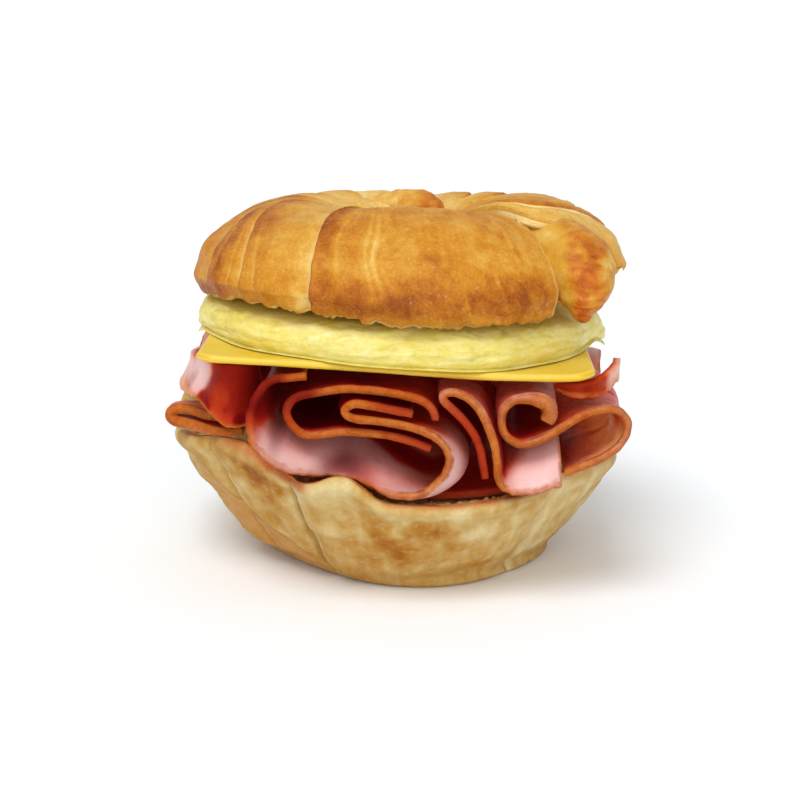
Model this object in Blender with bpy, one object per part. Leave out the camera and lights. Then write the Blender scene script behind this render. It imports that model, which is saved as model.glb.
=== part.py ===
"""Ham and cheese croissant: a ring-shaped croissant cut in half around
folded ham slices, a square slice of cheese and a round egg patty.

Metres, +Z up, the front of the sandwich faces -Y, the flat of the heel is at z = 0.
Shapes are worked out in millimetres and scaled when the meshes are made.
"""
import bpy
import bmesh
import numpy as np
from mathutils import Vector

MM = 0.001

# Croissant top: a closed ring with a dimple in the middle
CROWN_CENTRE_X = 2.0
CROWN_PIT_HEIGHT = 77.0
CROWN_FACE_HEIGHT = 65.9
CROWN_FACE_RISE = 0.016
CROWN_BULGE = [(0, 1.2), (60, 1.0), (100, 0.6), (200, 0.45), (240, 0.5), (262, 0.8), (300, 0.8),
               (345, 1.2)]
CROWN_STEP = [(0, 0.8), (60, 0.7), (100, 0.45), (200, 0.35), (222, 0.4), (243, 0.9), (312, 0.9),
              (345, 1.0)]
CROWN_RADIUS = [(0, 51.6), (30, 51.5), (60, 50.2), (90, 49.3), (120, 49.8), (150, 51), (180, 51.3),
                (200, 51.4), (215, 51), (246, 49.8), (270, 49.3), (300, 50), (312, 49.5),
                (322, 44), (336, 44), (345, 51.2)]
CROWN_RIDGE = [(0, 87.8), (20, 88), (40, 87.4), (60, 86.4), (80, 85.6), (100, 85.1), (120, 85.3),
               (150, 86.1), (180, 86.7), (210, 87.2), (237, 87.4), (262, 87.8), (284, 87.6),
               (300, 86.9), (311, 86.3), (318, 83.2), (336, 83.5), (345, 86.6)]
CROWN_LIP = [(0, 69.3), (30, 68.3), (60, 67.5), (90, 67), (120, 66.5), (150, 65.4), (180, 64.6),
             (195, 66), (215, 68), (246, 67), (262, 65.5), (270, 64.8), (290, 64.8), (312, 64.4),
             (322, 67), (345, 69.5)]
CROWN_SEAMS = [8, 27, 60, 82, 104, 126, 147, 168, 187, 204, 221, 243.5, 312, 345]
CROWN_WRAP = (243.5, 312)
# How far each seam has turned back by the time it is well inside the outer edge
CROWN_TWIST = [(8, 41), (27, 50), (60, 28), (82, 28), (180, 28), (204, 20), (221, 32), (243.5, 5),
               (265, 0), (300, -2), (312, -4), (345, 27)]
CROWN_TWIST_WIDTH = [(8, 20), (27, 22), (221, 22), (243.5, 16), (312, 12), (345, 13)]
CROWN_TWIST_CURVE = 1.3
CROWN_OUTSIDE = [(0.55, 1.0), (0.66, 0.948), (0.765, 0.849), (0.838, 0.72), (0.911, 0.552),
                 (0.956, 0.407), (0.983, 0.186), (1.0, 0.0)]
CROWN_INSIDE = [(0.08, 0.05), (0.18, 0.25), (0.30, 0.62), (0.42, 0.90)]

# Croissant horn: the baked tip that noses down at the front right
HORN_PATH = [(24, -8, 74.5, 10.5), (33, -16, 75.2, 10.5), (39, -23, 74.6, 9.7),
             (41.2, -28.5, 71.8, 8.0), (41.4, -32, 67.9, 5.4), (41.2, -33.3, 65, 2.5)]
HORN_SIDES = 14
# Small browned tip of the roll that lies over the back of the dimple
TIP_PATH = [(-8, 21, 81.5, 3.6), (0, 17.5, 83.2, 4.2), (5.5, 15, 83.7, 3.9), (9, 13, 83.2, 2.6)]
TIP_SIDES = 10

# Croissant bottom: a bowl with a flat base
HEEL_FOOT = [(0, 35), (20, 36), (60, 36), (120, 36), (160, 34), (182, 30), (203, 26.5), (225, 25.8),
             (245, 27.3), (258, 29.5), (270, 31.2), (285, 32.8), (300, 33), (315, 32.4),
             (335, 33.6), (352, 35)]
HEEL_FACE_HEIGHT = 22.0
HEEL_BULGE = 0.9
HEEL_RADIUS = [(0, 54), (30, 53.5), (60, 52), (90, 51.5), (120, 53), (150, 57), (160, 59.5),
               (170, 57.8), (180, 56.3), (207, 55.4), (225, 53), (237, 52), (246, 53.8), (255, 53.8),
               (264, 51.8), (270, 51.6), (290, 52), (316, 52.3), (338, 53.4), (350, 54)]
HEEL_RIM = [(0, 26.2), (30, 28), (60, 26), (90, 25), (120, 27), (150, 34), (160, 36.5), (172, 33),
            (182, 31.5), (195, 33.4), (207, 34.6), (218, 36.6), (227, 37), (232, 34), (240, 29.6),
            (246, 29.4), (249, 30), (253, 32), (257, 32.3), (261, 29.2), (265, 25.8), (280, 24.8),
            (295, 25), (307, 25.6), (320, 27.8), (338, 27.2), (350, 26.4)]
HEEL_SEAMS = [18, 58, 97, 138, 178, 213, 239.5, 318]
HEEL_NOTCH = [1.0, 1.0, 1.0, 1.0, 1.0, 1.2, 3.2, 2.2]
HEEL_SLIM = [(0.0, 0.55), (0.11, 0.63), (0.22, 0.705), (0.34, 0.755), (0.48, 0.815), (0.62, 0.872),
             (0.80, 0.932), (0.92, 0.975), (1.0, 0.965)]
HEEL_FULL = [(0.0, 0.60), (0.11, 0.685), (0.22, 0.735), (0.34, 0.785), (0.48, 0.832), (0.62, 0.876),
             (0.80, 0.935), (0.92, 0.975), (1.0, 0.965)]
HEEL_INSIDE = [(0.93, 0.90), (0.87, 0.45), (0.78, 0.08), (0.55, 0.0), (0.28, 0.0)]

# Egg patty
EGG_RADIUS_X = 49.3
EGG_RADIUS_Y = 47.3
EGG_DROOP = 3.8
EGG_DROOP_START = 45.8
EGG_COLUMNS = 40
EGG_PROFILE = [(0.45, 1.0), (0.80, 0.99), (0.92, 0.93), (0.975, 0.78), (1.0, 0.52), (0.993, 0.26),
               (0.965, 0.08), (0.90, 0.0), (0.5, 0.0)]

# Cheese slice
CHEESE_SIDE = 89.0
CHEESE_THICKNESS = 1.8
CHEESE_CORNER = 4.5
# Height of its top along x: it falls to the right and lifts again at the right edge
CHEESE_TOP = [(-60, 58.9), (-46, 58), (-37, 57.5), (-22, 56.7), (-7, 55.7), (11, 54.5), (22, 54),
              (29, 53.85), (36, 53.85), (41, 54.2), (46, 54.9), (60, 57)]
CHEESE_TURN = np.radians(-1.4)
CHEESE_STATIONS = [-1.0, -0.96, -0.9, -0.68, -0.45, -0.22, 0.0, 0.22, 0.45, 0.68, 0.9, 0.96, 1.0]

# Ham slices: the front edge as x, z, then how far the sheet moves in x and z behind
# that edge, then how far this part of the edge lies behind the front of the slice
HAM_THICKNESS = 1.8
HAM_LEAN_DEPTH = 6.0
HAM_STEP = 4.2
HAM_HANGING_STEP = 3.1
HAM_HANGING_ROWS = 6
HAM_SWOOP = [(-20.5, 53.3, -0.5, -0.3, 6), (-24.5, 52.8, -0.5, -0.3, 6), (-27.7, 52.6, 0, -0.5, 6),
             (-30.6, 50.8, 1, -1, 4), (-33, 46, 3.6, -1, 1), (-32.3, 39.5, 3.6, 1.6, 0),
             (-27, 34.3, 2, 3.6, 0), (-21, 31.9, 1, 3.8, 2.8), (-14, 30.1, 0.5, 4.6, 6.6),
             (-8, 29.3, 0, 5, 4), (-2, 27.8, 1, 2, 0), (4, 28.3, 3, -2.2, 0),
             (8.5, 31.8, 4.5, -3, 0), (10.3, 36, 4.5, -3, 0), (9, 39.7, 3.5, -2.3, 0),
             (5.5, 42, 2, -1.5, 1), (0, 43.4, 0.5, -1, 2), (-6.5, 44.3, -0.2, -0.5, 2),
             (-10.5, 44.9, -0.8, -0.5, 2), (-12, 46.5, -1, -0.5, 2), (-10, 48, -0.5, -0.5, 2),
             (-6, 47.6, 0, -0.5, 2), (-1.5, 46.7, 0, -0.5, 2), (2.8, 45.7, 0, -0.5, 2)]
HAM_LOOP = [(6.8, 37.5, 0.3, -1, 0), (-0.7, 40, 0, -0.8, 0), (-10.6, 41.2, -0.4, -0.3, 0),
            (-17, 40.5, -0.6, -0.1, 0), (-21, 40.6, -0.8, -0.1, 0), (-23.7, 42.9, -1, -0.8, 0),
            (-24.8, 46, -1.2, -0.8, 0), (-23, 49, -1, -1.5, 0), (-18.5, 50.2, -1, -1.5, 0),
            (-12, 51, -0.4, -0.8, 0), (-5.5, 50.6, -0.2, -0.8, 0), (0, 49.7, 0, -0.8, 0),
            (4.6, 48.4, 0, -0.8, 0), (6.8, 46.8, 0, -0.8, 0), (7.7, 45, 0, -0.8, 0),
            (7.8, 43.9, 0, -0.8, 0)]
HAM_HAIRPIN = [(18.8, 30.5, 0.3, -1, 3), (18.3, 34, 0.2, -1, 3), (17.2, 39, 0, -1, 3),
               (14.3, 43.6, 0, -0.8, 2.5), (11.4, 47, 0, -0.8, 1), (9.5, 49.2, 0, -1.2, 0),
               (9.6, 50.6, 0, -1.6, 0), (11.2, 51, 0.6, -1.8, 0), (13, 50.6, 1, -1.8, 0),
               (15.2, 49.2, 1, -1.4, 0), (17.3, 46.8, 1, -1, 0), (19, 43.5, 0.8, -0.8, 0),
               (20.6, 39, 1.2, -1, 0), (21.2, 35, 1.4, -1, 0), (21.5, 31.5, 1.6, 0.5, 0),
               (22.8, 28.8, 1.8, 4, 0), (25.5, 27.7, 1.4, 7.6, 0), (29, 27.8, 1.2, 8.2, 0),
               (32.5, 28.4, 0.8, 8.9, 0), (35.5, 29, 0.4, 9.2, 1)]
HAM_ROLL = [(32.2, 43.4, 0.6, -0.5, 1), (33, 45.6, 1, -0.7, 0.5), (32.2, 47.8, 1, -0.7, 0),
            (30, 49, 0.3, -1, 0),
            (27.5, 49.2, -0.3, -1.2, 0), (24.9, 48.6, -0.8, -1.2, 0), (22.8, 46.5, -0.3, -1, 0),
            (22.3, 43.6, 0.4, -1, 0), (23, 41, 0.8, -0.5, 0), (25.5, 38.9, 1, 0, 0),
            (29, 38.9, 1, 0.4, 0), (33, 40.8, 1.2, 0.4, 0), (36.2, 43, 1.3, -0.2, 0),
            (39.2, 45, 1.4, -1, 0), (42, 46.2, 1.5, -1.5, 0), (44.6, 46.8, 1.2, -2, 0),
            (47, 46.6, 0.7, -2.4, 1), (49.2, 45.4, -0.3, -2.4, 2), (50.6, 43, -1, -2, 3),
            (50.2, 40.2, -0.8, -1.6, 3), (48.5, 37.8, -0.2, -1.2, 2), (45.5, 35.9, 0.5, -1, 1),
            (41.5, 34.3, 0.6, -1, 0), (38.6, 33.1, 0.4, -1, 0), (36.5, 32.2, 0.4, -1, 0)]
HAM_NUB = [(-35.5, 38.4, -0.5, -0.3, 0), (-39.5, 38, -0.5, -0.5, 0.5), (-43.5, 37.7, -0.8, -0.8, 3),
           (-47, 37.2, -1, -1, 7), (-50.5, 36.8, -1, -1.4, 10.5), (-53.4, 36.8, -1, -1.6, 12),
           (-55.1, 38.1, -0.8, -1.6, 12.5), (-54.7, 39.8, -0.8, -1.6, 12.5),
           (-52.4, 40.5, -0.8, -1.6, 12.3), (-49, 40.5, -1, -1.4, 11), (-45, 40.3, -1, -1, 7.5),
           (-41.5, 40.4, -1, -0.6, 4.5)]
HAM_BED = [(-35, 35, 0, 0, 16), (-31, 32.8, 0, 0, 10), (-25, 30.7, 0, 0, 4),
           (-19, 29.3, 0, 0, 1), (-12, 28, 0, 0, 0), (-6, 26.2, 0, 0, 0), (0, 24.3, 0, 0, 0),
           (7, 23.5, 0, 0, 0), (14, 23.7, 0, 0, 0), (21, 24, 0, 0, 1), (28, 24.8, 0, 0, 4),
           (34, 26.4, 0, 0, 8), (38, 28, 0, 0, 13)]
HAM_SIDE_RIGHT = [(4, 31.5, 0, 0, 0), (10, 30.2, 0, 0, 0), (17, 30.5, 0, 0.5, 0),
                  (22, 33.5, 0.5, 0, 0), (21, 37.5, 0.5, 0, 0), (15, 39, 0, -0.5, 0),
                  (8, 38.5, 0, -0.5, 1), (4.5, 41.5, -0.5, 0, 1), (6, 45.3, -0.5, 0, 1),
                  (12, 46.6, 0, 0.5, 0), (20, 45.6, 0, 0.5, 1), (27, 43, 0, 0, 3),
                  (31, 39.5, 0, 0, 5)]
HAM_SIDE_LEFT = [(-10, 38.8, 0, 0, 1), (-16, 38.2, 0, 0, 0), (-23, 39, 0, 0, 0),
                 (-28, 41.8, -0.5, 0, 1), (-26.5, 45.2, -0.5, 0, 1), (-20, 46, 0, -0.5, 0),
                 (-13, 44.8, 0.5, 0, 0), (-9.5, 47.2, 0.5, 0, 0), (-12, 50.2, 0, 0, 1),
                 (-19, 51, 0, 0, 2), (-26, 50, 0, 0, 4)]
HAM_BACK_SWOOP = [(-33, 45.5, 0.5, -0.5, 4), (-35, 40.5, 1.5, 0, 2), (-31, 35.5, 1, 1, 0),
                  (-24, 32, 0.5, 1.5, 0), (-15, 29.3, 0, 2, 0), (-6, 28.3, 0, 1, 0),
                  (1, 29.8, 1, -1, 0), (4.3, 33.5, 2, 0, 0), (2.5, 37.5, 1, 0, 0),
                  (-4, 39, 0, 0, 1), (-12, 39, 0, 0, 1), (-19, 40.2, 0, 0, 2)]
HAM_BACK_LOOP = [(-6, 43, 0, 0, 1), (-14, 43.6, 0, 0, 0), (-22, 44.6, 0, 0, 0),
                 (-27.5, 46.2, -0.5, 0, 0), (-25, 48.6, 0, 0, 0), (-17, 48.4, 0, 0, 0),
                 (-8, 47.8, 0, 0, 0), (0, 47.4, 0, 0, 1), (5.5, 44.5, 0, 0, 2)]
HAM_BACK_ROLL = [(9.5, 31, 0, 0, 1), (9, 36, 0, 0, 0), (10, 42, 0, 0, 0), (12.5, 47.3, 0, 0, 0),
                 (17, 49.2, 0, -0.5, 0), (20.5, 46.5, 0, 0, 0), (20.5, 40.5, 0.5, 0, 0),
                 (20.8, 37, 0, 0, 0), (23.5, 34, 0, 0, 1), (27, 34.2, 0, 0, 2),
                 (30.5, 35.8, 0, 0, 4)]
HAM_BACK_FOLD = [(33, 39.5, 0, 0, 3), (28, 39, 0, 0, 2), (26.3, 42.5, 0, 0, 0),
                 (28.5, 46.5, 0, 0, 0), (33, 48.2, 0, 0, 1), (34.5, 50.7, 0, 0, 1),
                 (29, 51.4, 0, 0, 0), (22.5, 51.2, 0, 0, 0)]
# Slices that hang down under the cheese: x and y along the slice, its foot and its head, and
# how far the foot stands out in x
HAM_LEFT = [(-47.2, -12, 46.5, 53.4, -3.4), (-47.8, -20, 45.6, 54.2, -3.4),
            (-46.8, -28, 45.6, 55.2, -2.6), (-44.2, -34, 45.2, 55.4, -1.4),
            (-41.3, -38.3, 42.4, 55.4, -0.6), (-38.5, -40, 40.4, 55.3, 0),
            (-35.8, -39.2, 39.9, 55.1, 0), (-33.4, -37, 40.8, 55, 0), (-32, -34, 42, 54.9, 0)]
HAM_RIGHT = [(34.5, -39.8, 48.8, 51, 0), (38, -42, 47.9, 51.1, 0), (41.6, -42.2, 47.4, 51.5, 0),
             (44.6, -40, 47.8, 52.2, 0), (47, -36.8, 48.5, 53.2, 0), (48.8, -33.5, 49.2, 54.2, 0),
             (49.4, -29.5, 50.2, 54.4, 0)]
HAM_WALL = [(-37, 14.6, 40.5, 54.9, 0), (-33, 13.6, 37.6, 54.8, 0), (-28, 12.3, 35.2, 54.5, 0),
            (-18, 15, 32.2, 53.9, 0), (-6, 12.5, 29.4, 53, 0), (6, 15.5, 26, 52.2, 0),
            (17, 12.5, 26, 51.6, 0), (27, 15, 27.2, 51.3, 0), (35, 13, 29.6, 51.3, 0)]
HAM_HANGINGS = [("ham_left", HAM_LEFT), ("ham_right", HAM_RIGHT), ("ham_wall", HAM_WALL)]

# Each of the other slices: name, edge, where its front edge and its back edge lie, and which
# way it faces: 0 to the front, 90 to the right, 180 to the back and 270 to the left
HAM_SLICES = [("ham_swoop", HAM_SWOOP, -51, 7, 0), ("ham_loop", HAM_LOOP, -47, 6, 0),
              ("ham_hairpin", HAM_HAIRPIN, -50, 8, 0), ("ham_roll", HAM_ROLL, -48, -2, 0),
              ("ham_nub", HAM_NUB, -36, -6, 0), ("ham_bed", HAM_BED, -36.5, 34.5, 0),
              ("ham_side_right", HAM_SIDE_RIGHT, -51, -40, 90),
              ("ham_side_left", HAM_SIDE_LEFT, -51, -38, 270),
              ("ham_back_swoop", HAM_BACK_SWOOP, -46, -19, 180),
              ("ham_back_loop", HAM_BACK_LOOP, -45, -19, 180),
              ("ham_back_roll", HAM_BACK_ROLL, -46, -19, 180),
              ("ham_back_fold", HAM_BACK_FOLD, -40, -19, 180)]


def clear_scene():
    for thing in list(bpy.data.objects):
        bpy.data.objects.remove(thing, do_unlink=True)


def around(table, angle, blur=5.0):
    """Smooth value of a table of (angle, value) pairs at angles in degrees."""
    turn = np.arange(0.0, 360.0, 1.0)
    keys = [pair[0] for pair in table]
    values = [pair[1] for pair in table]
    ring = np.interp(turn, keys, values, period=360.0)
    reach = int(blur)
    weights = np.hanning(2 * reach + 3)[1:-1]
    total = np.zeros_like(ring)
    for shift, weight in zip(range(-reach, reach + 1), weights):
        total += weight * np.roll(ring, shift)
    ring = total / weights.sum()
    return np.interp(angle, turn, ring, period=360.0)


def segment_place(angle, seams):
    """Which segment an angle is in, how far after its first seam and before its last."""
    marks = np.array(sorted(seams), dtype=float)
    wrapped = angle % 360.0
    index = int(np.searchsorted(marks, wrapped, side="right")) - 1
    start = marks[index] if index >= 0 else marks[-1] - 360.0
    end = marks[index + 1] if index + 1 < len(marks) else marks[0] + 360.0
    return index % len(marks), wrapped - start, end - wrapped


def crown_relief(angle):
    """How far the rolled dough stands out at an angle around the crown."""
    _, after, before = segment_place(angle, CROWN_SEAMS)
    share = after / (after + before)
    relief = float(around(CROWN_BULGE, angle)) * np.sin(np.pi * share) ** 0.6
    step = float(around(CROWN_STEP, angle))
    in_wrap = CROWN_WRAP[0] < angle % 360.0 < CROWN_WRAP[1]
    after_wrap = abs(angle % 360.0 - after - CROWN_WRAP[1]) < 0.5
    first = -step if after_wrap else step
    last = step if in_wrap else -step
    relief += first * np.exp(-after / 4.0)
    relief += last * np.exp(-before / 4.0)
    return relief


def crown_face(x):
    return CROWN_FACE_HEIGHT + CROWN_FACE_RISE * (x + 45.0)


def crown_twist(angle, radius, outer):
    """Angle at which a seam that starts at an angle on the outside runs at a smaller radius."""
    width = float(around(CROWN_TWIST_WIDTH, angle, 3))
    inward = np.clip((outer - radius) / width, 0.0, 1.0) ** CROWN_TWIST_CURVE
    return angle - float(around(CROWN_TWIST, angle, 3)) * inward


def crown_column(angle):
    """Outline of the crown from the dimple over the ridge to the cut face, as angle, radius, z."""
    radius = float(around(CROWN_RADIUS, angle, 4))
    ridge = float(around(CROWN_RIDGE, angle, 4))
    lip = float(around(CROWN_LIP, angle, 4))
    wide = 0.5 * lip + 37.5
    relief = crown_relief(angle)
    points = []
    for share, height in CROWN_INSIDE:
        fade = np.clip((share - 0.12) / 0.3, 0.0, 1.0)
        z = CROWN_PIT_HEIGHT + (ridge - CROWN_PIT_HEIGHT) * height + relief * fade
        points.append((share * radius, z))
    for share, height in CROWN_OUTSIDE:
        lean = share ** 6
        z = wide + (ridge - wide) * height + relief * (1.0 - lean)
        points.append((share * radius + relief * lean, z))
    points.append((radius - 0.8 + relief, lip + 2.4))
    points.append((radius * 0.95 + relief * 0.7, lip))
    direction = np.cos(np.radians(angle))
    for share in (0.86, 0.6, 0.3):
        face = crown_face(CROWN_CENTRE_X + share * radius * direction)
        if share > 0.8:
            face = max(face, lip - 0.3)
        points.append((share * radius, face))
    top_count = len(CROWN_INSIDE) + len(CROWN_OUTSIDE)
    turned = []
    for index, (out, z) in enumerate(points):
        turn = crown_twist(angle, out, radius) if index < top_count else angle
        turned.append((turn, out, z))
    return turned


def seam_columns(seams, gap, shares, long_span=40.0):
    """Angles of the mesh columns: close beside every seam and spread between seams."""
    marks = sorted(seams)
    angles = []
    for start, end in zip(marks, marks[1:] + [marks[0] + 360.0]):
        span = end - start
        spread = shares if span < long_span else [s / 2 for s in shares] + [0.5 + s / 2 for s in shares]
        angles.append(start + gap)
        for share in spread:
            angles.append(start + span * share)
        angles.append(end - gap)
    return angles


def turned_solid(name, centre, outlines, top, bottom):
    """Closed body from one outline per angle, with a point at the top and the bottom middle."""
    vertices = [(centre[0], centre[1], top)]
    rings = len(outlines[0])
    for outline in outlines:
        for angle, radius, z in outline:
            turn = np.radians(angle)
            vertices.append((centre[0] + radius * np.cos(turn), centre[1] + radius * np.sin(turn), z))
    vertices.append((centre[0], centre[1], bottom))
    return solid(name, vertices, ring_faces(len(outlines), rings))


def solid(name, vertices, faces):
    mesh = bpy.data.meshes.new(name)
    mesh.from_pydata([tuple(float(value) * MM for value in vertex) for vertex in vertices], [], faces)
    bm = bmesh.new()
    bm.from_mesh(mesh)
    bmesh.ops.triangulate(bm, faces=bm.faces)
    bmesh.ops.recalc_face_normals(bm, faces=bm.faces)
    bm.to_mesh(mesh)
    bm.free()
    mesh.shade_smooth()
    thing = bpy.data.objects.new(name, mesh)
    bpy.context.scene.collection.objects.link(thing)
    return thing


def material(name, colour, roughness):
    skin = bpy.data.materials.new(name)
    skin.use_nodes = True
    shader = skin.node_tree.nodes["Principled BSDF"]
    shader.inputs["Base Color"].default_value = (*colour, 1.0)
    shader.inputs["Roughness"].default_value = roughness
    shader.inputs["Metallic"].default_value = 0.0
    skin.diffuse_color = (*colour, 1.0)
    return skin


def tube(name, path, sides):
    """Tapered closed tube along a path of x, y, z and radius."""
    vertices = []
    faces = []
    centres = [Vector(point[:3]) for point in path]
    for i, point in enumerate(path):
        before = centres[max(i - 1, 0)]
        after = centres[min(i + 1, len(path) - 1)]
        along = (after - before).normalized()
        side = along.cross(Vector((0, 0, 1))).normalized()
        over = side.cross(along).normalized()
        for k in range(sides):
            turn = 2.0 * np.pi * k / sides
            outward = side * float(np.cos(turn)) + over * float(np.sin(turn))
            vertices.append(tuple(centres[i] + outward * float(point[3])))
    for i in range(len(path) - 1):
        for k in range(sides):
            nextk = (k + 1) % sides
            faces.append((i * sides + k, i * sides + nextk, (i + 1) * sides + nextk, (i + 1) * sides + k))
    start = len(vertices)
    vertices.append(tuple(centres[0]))
    ending = centres[-1] + (centres[-1] - centres[-2]).normalized() * float(path[-1][3]) * 0.5
    vertices.append(tuple(ending))
    base = (len(path) - 1) * sides
    for k in range(sides):
        nextk = (k + 1) % sides
        faces.append((start, nextk, k))
        faces.append((start + 1, base + k, base + nextk))
    return solid(name, vertices, faces)


def join(body, other):
    """Union of two overlapping solids, kept in the first."""
    union = body.modifiers.new("join", "BOOLEAN")
    union.operation = "UNION"
    union.solver = "MANIFOLD"
    union.object = other
    bpy.context.view_layer.update()
    finished = bpy.data.meshes.new_from_object(body.evaluated_get(bpy.context.evaluated_depsgraph_get()))
    body.modifiers.clear()
    body.data = finished
    bpy.data.objects.remove(other, do_unlink=True)
    finished.shade_smooth()


def croissant_top(skin):
    columns = seam_columns(CROWN_SEAMS, 0.6, [0.25, 0.5, 0.75])
    outlines = [crown_column(angle) for angle in columns]
    crown = turned_solid("croissant_top", (CROWN_CENTRE_X, 0.0), outlines,
                         CROWN_PIT_HEIGHT, crown_face(CROWN_CENTRE_X))
    join(crown, tube("horn", smooth_path(HORN_PATH, 9), HORN_SIDES))
    join(crown, tube("tip", smooth_path(TIP_PATH, 6), TIP_SIDES))
    crown.data.materials.clear()
    crown.data.materials.append(skin)


def heel_relief(angle):
    index, after, before = segment_place(angle, HEEL_SEAMS)
    share = after / (after + before)
    following = (index + 1) % len(HEEL_SEAMS)
    relief = HEEL_BULGE * np.sin(np.pi * share) ** 0.6
    relief -= HEEL_NOTCH[index] * np.exp(-after / 3.0)
    relief -= HEEL_NOTCH[following] * np.exp(-before / 3.0)
    return relief


def heel_column(angle):
    """Outline of the heel over the rim and down to the flat base, as angle, radius, z."""
    radius = float(around(HEEL_RADIUS, angle, 4))
    rim = float(around(HEEL_RIM, angle, 3))
    foot = float(around(HEEL_FOOT, angle))
    relief = heel_relief(angle)
    slimness = 0.5 - 0.5 * np.cos(np.radians(angle))
    points = []
    for share, height in reversed(HEEL_INSIDE):
        z = HEEL_FACE_HEIGHT + (rim - HEEL_FACE_HEIGHT) * height
        points.append((share * radius, z))
    for slim, full in zip(reversed(HEEL_SLIM), reversed(HEEL_FULL)):
        share = slim[1] * slimness + full[1] * (1.0 - slimness)
        swell = relief * np.sin(np.pi * min(slim[0] * 0.6 + 0.08, 0.5))
        if slim[0] == 0.0:
            points.append((foot, 0.0))
        else:
            points.append((share * radius + swell, slim[0] * rim))
    points.append((foot * 0.5, 0.0))
    return [(angle, out, z) for out, z in points]


def croissant_bottom(skin):
    columns = seam_columns(HEEL_SEAMS, 1.2, [0.16, 0.33, 0.5, 0.67, 0.84], 60.0)
    outlines = [heel_column(angle) for angle in columns]
    heel = turned_solid("croissant_bottom", (0.0, 0.0), outlines, HEEL_FACE_HEIGHT, 0.0)
    heel.data.materials.append(skin)


def egg_patty(skin):
    outlines = []
    columns = [360.0 * k / EGG_COLUMNS for k in range(EGG_COLUMNS)]
    vertices = []
    for angle in columns:
        turn = np.radians(angle)
        wobble = 0.5 * np.sin(5 * turn + 1.0) + 0.4 * np.sin(11 * turn + 2.0)
        for share, height in EGG_PROFILE:
            x = (EGG_RADIUS_X + wobble) * share * np.cos(turn)
            y = (EGG_RADIUS_Y + wobble) * share * np.sin(turn)
            outlines.append((x, y, egg_height(x, y, height, share)))
    vertices.append((0.0, 0.0, egg_height(0.0, 0.0, 1.0, 0.0)))
    vertices.extend(outlines)
    vertices.append((0.0, 0.0, egg_height(0.0, 0.0, 0.0, 0.0)))
    faces = ring_faces(len(columns), len(EGG_PROFILE))
    egg = solid("egg_patty", vertices, faces)
    egg.data.materials.append(skin)


def egg_height(x, y, height, share):
    """Height of the egg between its underside (0) and its top (1)."""
    under = cheese_top(x) + 0.35
    over = 64.2 - 0.035 * x
    droop = EGG_DROOP * np.clip((abs(x) - EGG_DROOP_START) / 4.0, 0.0, 1.0) ** 1.5
    return under + (over - under) * height - droop * (1.0 - 0.25 * height)


def ring_faces(count, rings):
    last = 1 + count * rings
    faces = []
    for i in range(count):
        this = 1 + i * rings
        following = 1 + ((i + 1) % count) * rings
        faces.append((0, this, following))
        for j in range(rings - 1):
            faces.append((this + j, this + j + 1, following + j + 1, following + j))
        faces.append((last, following + rings - 1, this + rings - 1))
    return faces


def cheese_top(x):
    keys = [pair[0] for pair in CHEESE_TOP]
    return np.interp(x, keys, [pair[1] for pair in CHEESE_TOP])


def rounded_square(u, v, half, corner):
    """Place of a grid point (u, v from -1 to 1) in a square with round corners."""
    straight = half - corner
    over_x = max(abs(u) * half - straight, 0.0) / corner
    over_y = max(abs(v) * half - straight, 0.0) / corner
    if over_x == 0.0 or over_y == 0.0:
        return u * half, v * half
    x = straight + corner * over_x * np.sqrt(1.0 - over_y ** 2 / 2.0)
    y = straight + corner * over_y * np.sqrt(1.0 - over_x ** 2 / 2.0)
    return x * np.sign(u), y * np.sign(v)


def cheese_slice(skin):
    """Square slice with rounded corners, turned a little and falling to the right."""
    vertices = []
    for level in (0.0, -CHEESE_THICKNESS):
        for v in CHEESE_STATIONS:
            for u in CHEESE_STATIONS:
                flat_x, flat_y = rounded_square(u, v, CHEESE_SIDE / 2.0, CHEESE_CORNER)
                x = flat_x * np.cos(CHEESE_TURN) - flat_y * np.sin(CHEESE_TURN)
                y = flat_x * np.sin(CHEESE_TURN) + flat_y * np.cos(CHEESE_TURN)
                vertices.append((x, y, cheese_top(x) + level))
    count = len(CHEESE_STATIONS)
    layer = count * count
    faces = []
    for j in range(count - 1):
        for i in range(count - 1):
            a = j * count + i
            quad = (a, a + 1, a + count + 1, a + count)
            faces.append(quad)
            faces.append(tuple(layer + k for k in reversed(quad)))
    for i in range(count - 1):
        edges = [(i, i + 1), (layer - 1 - i, layer - 2 - i),
                 ((i + 1) * count, i * count), (i * count + count - 1, (i + 1) * count + count - 1)]
        for a, b in edges:
            faces.append((a, layer + a, layer + b, b))
    cheese = solid("cheese_slice", vertices, faces)
    cheese.data.materials.append(skin)


def smooth_path(points, count):
    """Evenly spaced points on a smooth curve through the given points."""
    knots = np.array(points, dtype=float)
    ends = np.vstack([2 * knots[0] - knots[1], knots, 2 * knots[-1] - knots[-2]])
    fine = []
    for i in range(1, len(ends) - 2):
        for t in np.linspace(0.0, 1.0, 12, endpoint=False):
            a, b, c, d = ends[i - 1], ends[i], ends[i + 1], ends[i + 2]
            fine.append(0.5 * (2 * b + (c - a) * t + (2 * a - 5 * b + 4 * c - d) * t ** 2
                               + (3 * b - a - 3 * c + d) * t ** 3))
    fine.append(knots[-1])
    fine = np.array(fine)
    lengths = np.linalg.norm(np.diff(fine[:, :2], axis=0), axis=1)
    run = np.concatenate([[0.0], np.cumsum(lengths)])
    marks = np.linspace(0.0, run[-1], count)
    return np.column_stack([np.interp(marks, run, fine[:, k]) for k in range(fine.shape[1])])


def path_length(points):
    fine = smooth_path(points, 80)
    return float(np.linalg.norm(np.diff(fine[:, :2], axis=0), axis=1).sum())


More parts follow.
